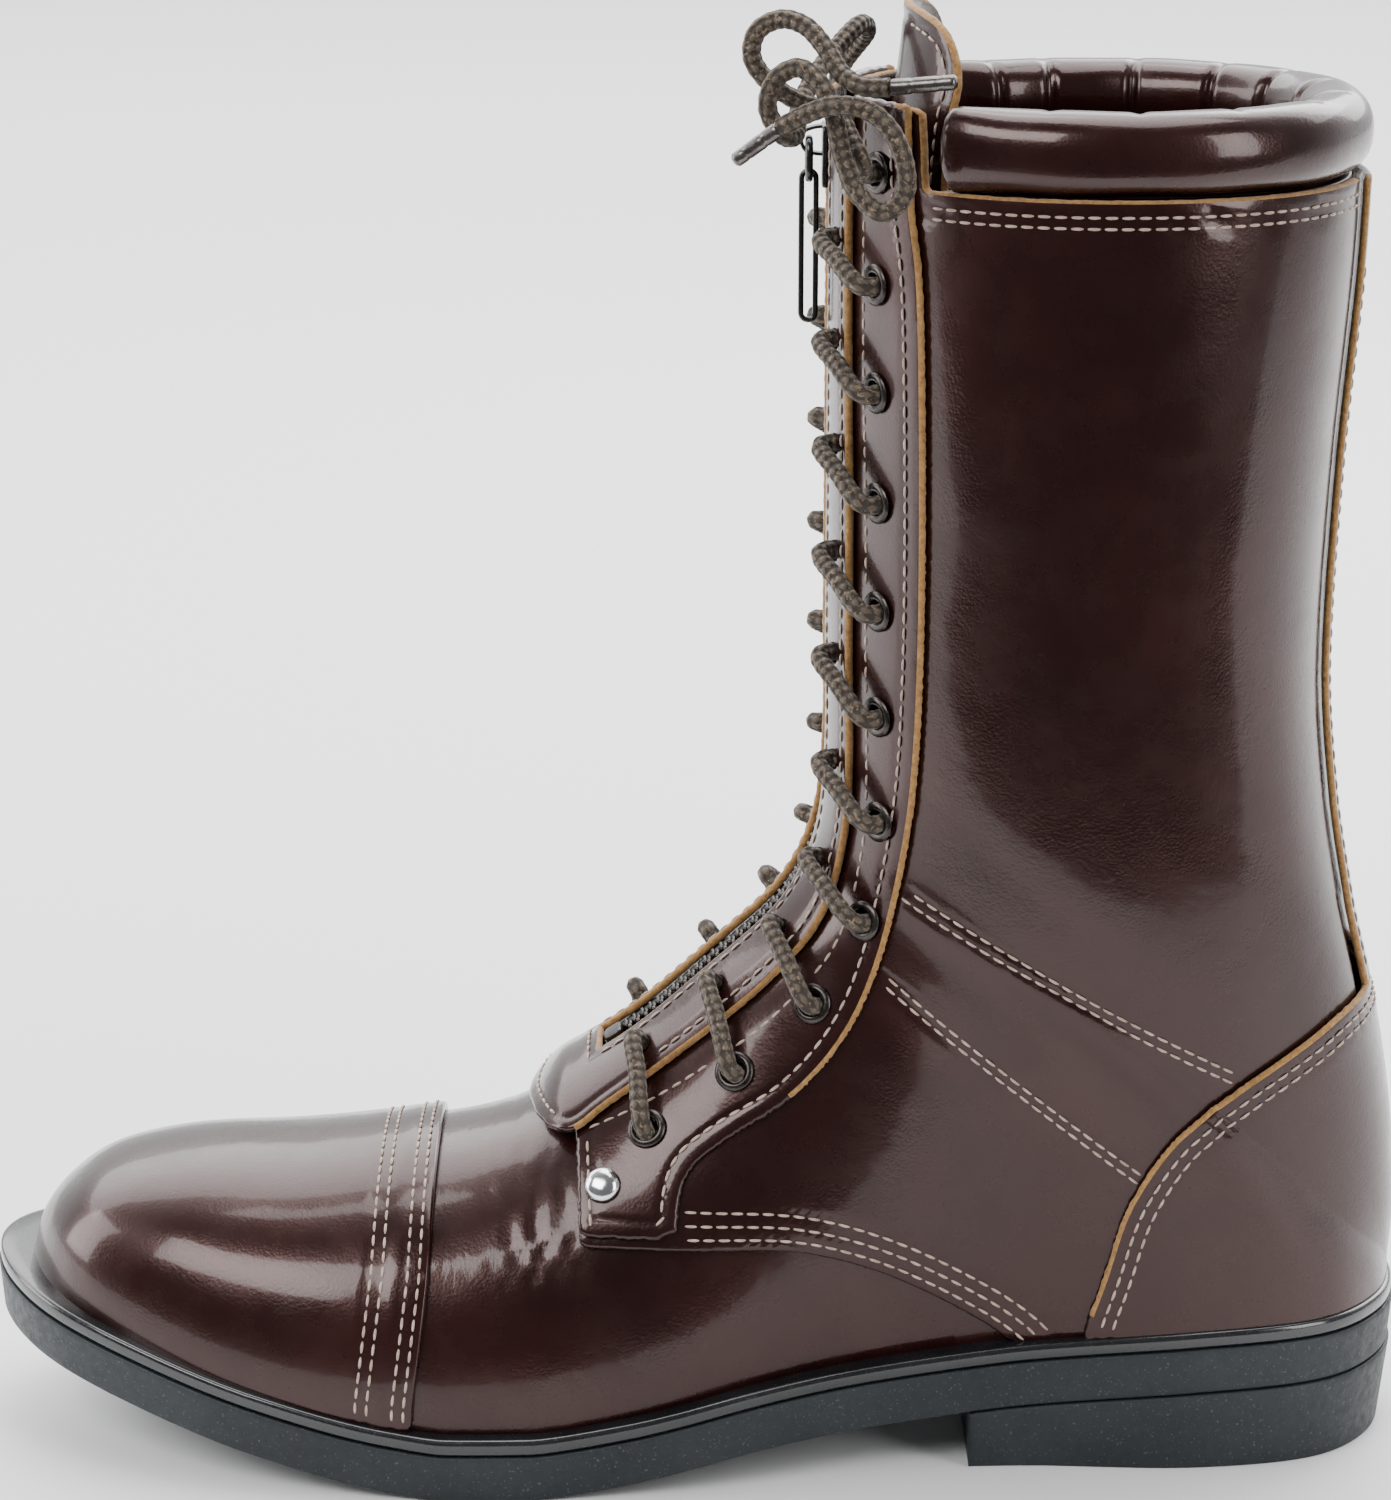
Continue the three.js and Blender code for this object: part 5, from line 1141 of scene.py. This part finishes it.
rows.append((*rowAcross(lambda p: p[:, 0] - panel["slotEnd"] + 2.6, (-0.1, 0.1), (7, 8.2), 80), stripLevel,
    None))
sewn("panelStitching", rows)
sewn("tongueStitching", [
    (*rowAlong(lambda p: insideOf(tongueZone, p[:, 1], p[:, 2]) - 3.6, (15.0, 15.84), (0.01, 0.6), sign),
     tongueLevel(tongueOut + lift), None) for sign in both])

# padded collar
collar = dict(low=quarterTop + gap, high=16.7, half=7.5, setIn=3, firstT=0.256, fullT=0.36, slim=2.9,
    squareness=2.35)


def makeCollar():
    # a soft tube round the top: at each place round the shaft the section is a rounded oval; it closes at
    # both ends, and pleats pinch its inner face
    along = np.linspace(-1, 1, 301)
    section = topSection - 1 + (30 - 17 + gap + collar["high"] / 2) / 52
    t = mix(collar["firstT"], 1, 1 - np.abs(along))
    p, n = onLast(np.full(len(t), section), np.where(along < 0, -t, t))
    out = unit(n * np.array([1, 1, 0]))
    run = np.concatenate([[0], np.cumsum(np.linalg.norm(np.diff(p, axis=0), axis=1))])
    fromEnd = np.minimum(run, run[-1] - run)
    shrink = np.sqrt(np.clip(1 - (1 - np.clip(fromEnd / 2.4, 0, 1)) ** 2, 0.02, 1))
    slim = collar["slim"] * (1 - ease((t - collar["firstT"]) / (collar["fullT"] - collar["firstT"])))
    half, setIn = (collar["half"] - slim)[:, None], (collar["setIn"] - slim)[:, None]
    angle = np.linspace(0, 2 * math.pi, 33)[:-1]
    c, s = np.cos(angle), np.sin(angle)
    e = 2 / collar["squareness"]
    across, up = np.sign(c) * np.abs(c) ** e, np.sign(s) * np.abs(s) ** e
    pleats = np.zeros_like(run)
    for at, deep in ((0.09, 0.5), (0.17, 0.8), (0.26, 0.7), (0.36, 0.9), (0.44, 0.8), (0.53, 0.7), (0.62, 1),
                     (0.70, 0.9), (0.79, 1.0), (0.88, 0.7), (0.94, 0.5)):
        pleats += deep * np.exp(-((run - at * run[-1]) / 1.3) ** 2)
    innerSide = np.clip(-np.cos(angle + 0.35), 0, 1) ** 0.8
    tuckUnder = 1 - 0.22 * np.exp(-((angle - 1.5 * math.pi) / 0.7) ** 2)
    wave = 1 + 0.02 * np.sin(run / 9.0) + 0.015 * np.sin(run / 4.1 + 1)
    size = shrink[:, None] * (1 - 0.27 * pleats[:, None] * innerSide[None]) * wave[:, None]
    middle = collar["low"] + collar["high"] / 2
    x = p[:, None] + out[:, None] * (half * across[None] * tuckUnder[None] * size - setIn)[..., None]
    x[..., 2] = middle + collar["high"] / 2 * up[None] * (size * 0.5 + 0.5 * shrink[:, None])
    points = x.reshape(-1, 3)
    rings, around = len(run), len(angle)
    faces = [ringFaces(rings, around), np.stack([np.arange(around)[::-1],
        (rings - 1) * around + np.arange(around)])]
    return makeMesh("collar", points, faces, [leather])


def settle(piece, pressure=4.0, cap=1.2):
    # lets the filled leather swell a little in a cloth run, held along its sewn under edge
    mesh = piece.data
    co = np.empty(len(mesh.vertices) * 3, np.float32)
    mesh.vertices.foreach_get("co", co)
    rest = co.reshape(-1, 3).copy()
    held = piece.vertex_groups.new(name="held")
    held.add([int(i) for i in np.nonzero(rest[:, 2] < (collar["low"] + 2.2) * 0.001)[0]], 1.0, "REPLACE")
    cloth = piece.modifiers.new("cloth", "CLOTH")
    cloth.settings.vertex_group_mass = "held"
    cloth.settings.use_pressure = True
    cloth.settings.uniform_pressure_force = pressure
    cloth.settings.quality = 6
    cloth.settings.mass = 0.3
    cloth.settings.tension_stiffness = 25
    cloth.settings.compression_stiffness = 25
    cloth.settings.bending_stiffness = 6
    cloth.settings.effector_weights.gravity = 0
    cloth.point_cache.frame_start, cloth.point_cache.frame_end = 1, 20
    scene = bpy.context.scene
    for number in range(1, 21):
        scene.frame_set(number)
    shaped = piece.evaluated_get(bpy.context.evaluated_depsgraph_get())
    co = np.empty(len(shaped.data.vertices) * 3, np.float32)
    shaped.data.vertices.foreach_get("co", co)
    moved = co.reshape(-1, 3) - rest
    size = np.linalg.norm(moved, axis=1, keepdims=True)
    moved *= np.minimum(1, cap * 0.001 / np.maximum(size, 1e-9))
    piece.modifiers.clear()
    piece.vertex_groups.clear()
    mesh.vertices.foreach_set("co", (rest + moved).ravel())
    mesh.update()
    scene.frame_set(1)


collarPiece = makeCollar()
settle(collarPiece)
finishPiece(collarPiece, "boot", "upper_leather", "collar")
print("collar made")


# metal fittings
def turnedPiece(name, profile, centre, axis, material, around=36, closed=False):
    # a profile of (radius, height) turned round an axis; a closed profile makes a ring
    profile = np.array(profile, float)
    a = unit(np.cross(axis, [0.31, 0.11, 0.94]))
    b = np.cross(axis, a)
    angle = np.arange(around) / around * 2 * math.pi
    out = np.cos(angle)[:, None] * a + np.sin(angle)[:, None] * b
    points = centre + profile[:, 0, None, None] * out[None] + profile[:, 1, None, None] * axis
    faces = [ringFaces(len(profile), around, closed)]
    if not closed:
        ends = np.arange(around)
        faces.append(np.stack([ends[::-1], (len(profile) - 1) * around + ends]))
    return makeMesh(name, points.reshape(-1, 3), faces, [material])


seat = eyelet["seat"]
eyeletProfile = [(2.42, -0.3), (2.38, 3.4), (2.40, seat - 0.1), (2.52, seat + 0.32), (2.78, seat + 0.58),
                 (3.15, seat + 0.68), (3.55, seat + 0.62), (3.95, seat + 0.42), (4.22, seat + 0.2),
                 (4.3, seat + 0.04), (4.2, seat - 0.04), (3.1, seat - 0.02), (3.0, seat - 0.3), (3.0, -0.3)]
for name in sides:
    for k, (centre, axis) in enumerate(zip(*eyeletAt[name])):
        piece = turnedPiece(f"eyelet{name.title()}{k + 1}", eyeletProfile, swung(centre), axis, gunmetal,
            closed=True)
        finishPiece(piece, "boot", "eyelet_metal", f"eyelet_{name}_{k + 1}")

rivet = dict(x=-18.5, z=62.5, domeHalf=3.8, high=2.2, pinHalf=1.3)


def rivetPlace(sign):  # nearest grid place to the rivet's side view point
    s, t = [g.ravel() for g in np.meshgrid(np.linspace(6, 9, 241), np.linspace(0.1, 0.9, 241))]
    for span in (0.02, 0.002):
        p = basePoint(s, t)
        best = np.argmin(np.hypot(p[:, 0] - rivet["x"], p[:, 2] - rivet["z"]))
        s, t = [g.ravel() for g in np.meshgrid(s[best] + np.linspace(-span, span, 41),
                                               t[best] + np.linspace(-span, span, 41))]
    middle = len(s) // 2
    p, n = onLast(s[middle:middle + 1], sign * t[middle:middle + 1])
    return swung(p)[0], n[0]


for name, sign in sides.items():
    centre, axis = rivetPlace(sign)
    bend = np.linspace(0, 1, 14) * math.pi / 2
    dome = [(rivet["pinHalf"], 0.0), (rivet["pinHalf"], seat - 0.1), (3.6, seat - 0.1),
        (rivet["domeHalf"], seat + 0.12)]
    dome += [(rivet["domeHalf"] * 0.985 * math.cos(v) ** 0.86, seat + 0.3 + (rivet["high"] - 0.3)
        * math.sin(v)) for v in bend[:-1]] + [(0.05, seat + rivet["high"])]
    piece = turnedPiece("rivet" + name.title(), dome, centre, axis, chrome, 48)
    finishPiece(piece, "boot", "rivet_chrome", "rivet_" + name)
print("eyelets and rivets made")

# zip
zipper = dict(tapeIn=3.4, tapeOut=4.2, tapeFrom=3.5, tapeTo=9.5, low=2.35, high=5.15, start=-12.6,
    top=top - 7, toothPitch=1.15)
for name, sign in sides.items():
    tapeSpec = dict(sections=(7, 16), round=(0.005, 0.16) if sign > 0 else (-0.16, -0.005), cell=1.2,
        paceAt=(0, 0.1), inner=zipper["tapeIn"], outer=zipper["tapeOut"], bulge=0.3,
        zone=lambda p: np.minimum.reduce([np.abs(p[:, 1]) - zipper["tapeFrom"],
        zipper["tapeTo"] - np.abs(p[:, 1]), p[:, 0] + 16.7, zipper["top"] - p[:, 2]]), relief=lambda p,
        d: -0.12 * np.exp(-((np.abs(p[:, 1]) - 4.6) / 0.4) ** 2))
    finishPiece(makeSheet("zipTape" + name.title(), tapeSpec, [tapeCloth, tapeCloth]), "boot", "zip_tape",
                "zip_tape_" + name)

s = np.linspace(7, 16, 3000)
p = basePoint(s, 0)
run = np.concatenate([[0], np.cumsum(np.linalg.norm(np.diff(p, axis=0), axis=1))])
inZip = (p[:, 0] > zipper["start"]) & (p[:, 2] < zipper["top"] - 1)
toothRun = np.arange(run[inZip][0] + 0.6, run[inZip][-1] - 0.4, zipper["toothPitch"])
toothSections = np.interp(toothRun, run, s)
# one tooth: rings across the zip, a root on the tape, a neck, and a rounded head past the middle
ringY = np.array([3.35, 3.0, 2.2, 1.3, 0.6, 0.0, -0.5, -0.72])
ringHigh = np.array([0.9, 1.3, 1.35, 1.05, 1.0, 1.3, 1.15, 0.5])
ringLong = np.array([0.30, 0.42, 0.40, 0.30, 0.32, 0.44, 0.38, 0.15])
corners = np.arange(8) / 8 * 2 * math.pi + math.pi / 8
bow = [np.sign(wave) * np.abs(wave) ** 0.6 for wave in (np.cos(corners), np.sin(corners))]
for name, sign in sides.items():
    mine = toothSections[(0 if sign > 0 else 1)::2]
    p, n = onLast(mine, np.zeros(len(mine)))
    ahead, _ = onLast(mine + 0.01, np.zeros(len(mine)))
    t = unit(ahead - p)
    middle = (zipper["low"] + zipper["high"]) / 2
    points = p[:, None, None] + np.array([0, sign, 0]) * ringY[None, :, None, None] \
        + n[:, None, None] * (middle + ringHigh[:, None] * bow[0][None])[None, :, :, None] \
        + t[:, None, None] * (ringLong[:, None] * bow[1][None])[None, :, :, None]
    one = len(ringY) * 8
    offset = (np.arange(len(mine)) * one)[:, None, None]
    caps = np.array([np.arange(8)[::-1], one - 8 + np.arange(8)])
    piece = makeMesh("zipTeeth" + name.title(), points.reshape(-1, 3),
        [(ringFaces(len(ringY), 8) + offset).reshape(-1, 4), (caps + offset).reshape(-1, 8)], [gunmetal])
    finishPiece(piece, "boot", "zip_metal", "zip_teeth_" + name)


def plate(outlinePoints, placing, thick, rolled):
    # a flat plate with rolled edges: rings of the outline drawn in towards its middle at each face
    outlinePoints = np.asarray(outlinePoints, float)
    middle = outlinePoints.mean(0)
    e = np.roll(outlinePoints, -1, 0) - np.roll(outlinePoints, 1, 0)
    normal = unit(np.stack([e[:, 1], -e[:, 0]], 1))
    normal *= np.sign(((outlinePoints - middle) * normal).sum(1).mean())
    rings, angles = [], np.linspace(0, math.pi / 2, 5)
    for v in angles:
        rings.append((rolled * (1 - math.sin(v)), rolled * (1 - math.cos(v))))
    rings += [(inset, thick - depthIn) for inset, depthIn in rings[::-1]]
    points = [placing(outlinePoints - normal * inset, depthIn) for inset, depthIn in rings]
    count = len(outlinePoints)
    ends = np.arange(count)
    return np.concatenate(points), [ringFaces(len(rings), count),
        np.stack([ends[::-1], (len(rings) - 1) * count + ends])]


def joined(name, parts, material):  # several shapes as one mesh
    points, faces, offset = [], {}, 0
    for shape, kinds in parts:
        points.append(shape)
        for kind in kinds:
            faces.setdefault(kind.shape[1], []).append(kind + offset)
        offset += len(shape)
    return makeMesh(name, np.concatenate(points), [np.concatenate(v) for v in faces.values()], [material])


stopOutline = flowing([[-16.7, -2.2], [-16.1, -3.1], [-15, -3.2], [-13.5, -3.1], [-13, -2.2], [-13, 0],
    [-13, 2.2], [-13.5, 3.1], [-15, 3.2], [-16.1, 3.1], [-16.7, 2.2], [-16.7, 0], [-16.7, -2.2]], 3)[:-1]


def onFront(flatPoints, level):  # (x, y) of the front line raised to a level
    s = np.interp(flatPoints[:, 0], basePoint(np.linspace(7, 10, 400), 0)[:, 0], np.linspace(7, 10, 400))
    p, n = onLast(s, np.zeros(len(s)))
    q = p + n * level
    q[:, 1] = flatPoints[:, 1]
    return q


shape = plate(stopOutline, lambda o, d: onFront(o, 2.4 + d), 3.1, 0.5)
finishPiece(joined("zipStop", [shape], gunmetal), "boot", "zip_metal", "zip_bottom_stop")

slideOutline = flowing([[-3.6, 271], [-3.9, 273], [-4.1, 276], [-4.6, 279], [-4.9, 281.5], [-4.6, 283.4],
    [-3.2, 284], [0, 283.6], [3.2, 284], [4.6, 283.4], [4.9, 281.5], [4.6, 279], [4.1, 276], [3.9, 273],
    [3.6, 271], [0, 271.1], [-3.6, 271]], 3)[:-1]


def slideLevel(base):
    return lambda o, d: np.stack([np.full(len(o), front - base - d), o[:, 0], o[:, 1]], 1)


def strip(line, halfWide, halfThick):  # a flat band along a line in the x-z plane
    a = np.array([0, 1.0, 0])
    tangent = unit(np.gradient(line, axis=0))
    b = np.cross(tangent, a)
    angle = np.arange(12) / 12 * 2 * math.pi
    cs = np.sign(np.cos(angle)) * np.abs(np.cos(angle)) ** 0.45 * halfWide
    sn = np.sign(np.sin(angle)) * np.abs(np.sin(angle)) ** 0.7 * halfThick
    points = line[:, None] + cs[None, :, None] * a + sn[None, :, None] * b[:, None]
    ends = np.arange(12)
    return points.reshape(-1, 3), [ringFaces(len(line), 12), np.stack([ends[::-1],
        (len(line) - 1) * 12 + ends])]


arch, _ = evenCurve([[27, 0, 277.6], [25.2, 0, 277.7], [22.9, 0, 278.4], [22.0, 0, 280.4], [22.7, 0, 282.3],
                  [25.2, 0, 283.2], [27, 0, 283.3]], 0.35)
postLine, _ = evenCurve([[front - 0.9, 0, 281.8], [front - 3, 0, 281.8], [front - 6.6, 0, 281.8]], 0.4)
sliderPiece = joined("zipSlider", [
    plate(slideOutline, slideLevel(0.45), 1.3, 0.45), plate(slideOutline, slideLevel(5.75), 1.3, 0.5),
    strip(arch, 1.5, 0.42), strip(postLine, 0.45, 1.9)], blackEnamel)
finishPiece(sliderPiece, "slider", "slider_metal", "zip_slider")


def roundedFrame(halfWide, low, high, cornerRound, upright, centre):
    angle = np.linspace(0, math.pi / 2, 9)
    quarterTurn = np.stack([np.cos(angle), np.sin(angle)], 1) * cornerRound
    cornerPoints = []
    for k, (cx, cz) in enumerate(((halfWide, high), (-halfWide, high), (-halfWide, low), (halfWide, low))):
        turn = np.array([[math.cos(k * math.pi / 2), math.sin(k * math.pi / 2)],
                         [-math.sin(k * math.pi / 2), math.cos(k * math.pi / 2)]])
        inset = np.array([cx - math.copysign(cornerRound, cx), cz - (cornerRound if k < 2 else -cornerRound)])
        cornerPoints.append(quarterTurn @ turn + inset)
    flat = np.concatenate(cornerPoints)
    flat = flat[np.linalg.norm(flat - np.roll(flat, 1, 0), axis=1) > 0.02]
    zero = np.zeros(len(flat))
    line = np.stack([flat[:, 0], zero, flat[:, 1]] if upright else [zero, flat[:, 0], flat[:, 1]], 1) + centre
    closedLine = np.concatenate([line, line[:1]])
    run = np.concatenate([[0], np.cumsum(np.linalg.norm(np.diff(closedLine, axis=0), axis=1))])
    at = np.linspace(0, run[-1], int(run[-1] / 0.45))[:-1]
    return np.stack([np.interp(at, run, closedLine[:, k]) for k in range(3)], 1)


pin = np.array([23.65, 0, 280.6])
ring = roundedFrame(3.4, -8.0, 0, 2.6, False, pin)
piece = tube("zipBail", ring, 0.8, [blackEnamel], 16, True)
finishPiece(piece, "bail", "slider_metal", "zip_bail")
ring = roundedFrame(1.5, -29.5, 1.5, 1.5, True, pin - [0, 0, 8.0])
piece = tube("zipPull", ring, 0.6, [blackEnamel], 16, True)
finishPiece(piece, "pull", "slider_metal", "zip_pull")
print("zip made")


# sole
def slabPiece(name, profile, low, high, material, firstX=None, across=9):
    # cross sections along the outline: over the bottom, up one side by the profile of (inset, height from
    # 0 to 1, height in mm), over the top and down the other side
    q = np.concatenate([np.linspace(0, 1, 26)[:-1] ** 1.6, np.linspace(1, 11, 150)[:-1],
                        12 - np.linspace(1, 0, 40) ** 1.6])
    rows = []
    for inset, share, offset in profile:
        x, half = outlineAt(q, inset)
        if firstX is not None:
            x = np.maximum(x, firstX)
        z = mix(low(x), high(x), share) + offset
        rows.append((x, half, z))
    loop = []
    v = np.linspace(-1, 1, across)
    x, half, z = rows[0]
    loop += [(x, half * k, z) for k in v]
    loop += [(x, half, z) for x, half, z in rows[1:]]
    x, half, z = rows[-1]
    loop += [(x, half * k, z) for k in v[::-1][1:]]
    loop += [(x, -half, z) for x, half, z in rows[1:-1][::-1]]
    points = np.stack([np.stack([x, y + swing(x), z], 1) for x, y, z in loop], 1)
    if firstX is not None:
        firstRow = int(np.argmax(outlineAt(q, profile[0][0])[0] > firstX)) - 1
        points = points[max(firstRow, 0):]
    count, around = points.shape[:2]
    ends = np.arange(around)
    return makeMesh(name, points.reshape(-1, 3), [ringFaces(count, around), np.stack(
        [ends[::-1], (count - 1) * around + ends])], [material])


def edge(insetLow, insetHigh, steps=7, soft=0.45):  # a side with small rounded corners
    rows = [(insetLow + soft, 0, 0), (insetLow + soft * 0.3, 0, soft * 0.3), (insetLow, 0, soft)]
    rows += [(mix(insetLow, insetHigh, k), k, mix(soft, -soft, k)) for k in np.linspace(0.1, 0.9, steps)]
    return rows + [(insetHigh, 1, -soft), (insetHigh + soft * 0.3, 1, -soft * 0.3), (insetHigh + soft, 1, 0)]


finishPiece(slabPiece("outsole", edge(0.8, 0.0), underside, lambda x: underside(x) + 10.2, rubber),
            "boot", "sole_rubber", "outsole")
finishPiece(slabPiece("heelBlock", edge(2.4, 0.4), lambda x: 0 * x, lambda x: underside(x) - 0.3, rubber, 59),
            "boot", "sole_rubber", "heel_block")
finishPiece(slabPiece("footbed", edge(17.3, 16.3, 3, 0.8), lambda x: feather(x) + 2.7,
    lambda x: feather(x) + 6.4, insoleCloth), "boot", "footbed_foam", "footbed")

# the welt is a ring along the outline: its profile of (inset, height) is a low rounded bar
weltProfile = np.array([(0.9, 10.5), (0.55, 10.65), (0.4, 11.1), (0.4, 12.6), (0.5, 13.4), (0.9, 13.85),
    (1.6, 14.0), (4.5, 14.0), (9, 14.0), (14, 14.0), (14, 10.5), (7, 10.5)])
q = np.concatenate([np.linspace(0, 1, 26)[:-1] ** 1.6, np.linspace(1, 11, 160)[:-1],
    12 - np.linspace(1, 0, 40) ** 1.6])
rows = []
for inset, riseHere in weltProfile:
    x, half = outlineAt(q, inset)
    x, y = np.concatenate([x, x[::-1][1:-1]]), np.concatenate([-half, half[::-1][1:-1]])
    rows.append(np.stack([x, y + swing(x), underside(x) + riseHere], 1))
points = np.stack(rows, 1)
finishPiece(makeMesh("welt", points.reshape(-1, 3), [ringFaces(len(points), len(weltProfile), True)],
    [weltLook]), "boot", "welt_rubber", "welt")

# hidden layers keep the frame's own shapes
for node, look in (("bottom_filler", corkLook), ("shank", steelLook), ("insole_board", boardLook)):
    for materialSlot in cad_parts[node].material_slots:
        materialSlot.link = "OBJECT"
        materialSlot.material = look
print("sole made")

# stage
room = dict(half=4, near=-0.3, far=6, floor=0.82, rough=0.6, sky=(0.97, 0.98, 1.0, 1),
    dim=0.16, bright=1.15, dimAt=-0.35, brightAt=0.6)
floorMesh = bpy.data.meshes.new("floor")
floorMesh.from_pydata([
    (-room["half"], room["near"], 0), (room["half"], room["near"], 0),
    (room["half"], room["far"], 0), (-room["half"], room["far"], 0)], [], [(0, 1, 2, 3)])
floor = bpy.data.objects.new("floor", floorMesh)
bpy.context.scene.collection.objects.link(floor)
floorLook, _, floorShader = newMaterial("paleFloor", Roughness=room["rough"])
floorShader.inputs["Base Color"].default_value = (room["floor"], room["floor"], room["floor"], 1)
floorMesh.materials.append(floorLook)
world = bpy.data.worlds.new("studio")
bpy.context.scene.world = world
world.use_nodes = True
# the room is bright behind the boot and dim in front of it
sky = world.node_tree
direction = addNode(sky, "ShaderNodeTexCoord")
skyParts = addNode(sky, "ShaderNodeSeparateXYZ")
link(sky, direction, "Generated", skyParts, "Vector")
bright = spread(sky, skyParts, "Y", room["dim"], room["bright"], room["dimAt"], room["brightAt"])
link(sky, bright, "Result", sky.nodes["Background"], "Strength")
sky.nodes["Background"].inputs["Color"].default_value = room["sky"]
softboxes = [  # name, place, aimed at, width, height, watts
    ("keyBox", (-0.75, -0.9, 1.1), (0.0, 0.0, 0.12), 0.9, 0.6, 16),
    ("sideBox", (0.95, -0.75, 0.55), (0.05, 0.0, 0.15), 0.45, 0.9, 9),
    ("topBox", (0.1, 0.15, 1.35), (0.0, 0.0, 0.1), 1.0, 0.7, 12),
    ("frontBox", (-1.2, 0.1, 0.5), (0.0, 0.0, 0.12), 0.6, 0.8, 10),
    ("backBox", (0.7, 1.0, 0.8), (0.05, 0.0, 0.15), 0.8, 0.8, 8),
    ("backdropBox", (0.0, 2.3, 1.6), (0.0, 2.5, 0.0), 4.4, 3.6, 190)]
for lightName, at, toward, wide, high, power in softboxes:
    light = bpy.data.lights.new(lightName, "AREA")
    light.shape = "RECTANGLE"
    light.size, light.size_y, light.energy = wide, high, power
    lamp = bpy.data.objects.new(lightName, light)
    lamp.location = at
    lamp.rotation_euler = (Vector(toward) - Vector(at)).to_track_quat("-Z", "Y").to_euler()
    bpy.context.scene.collection.objects.link(lamp)
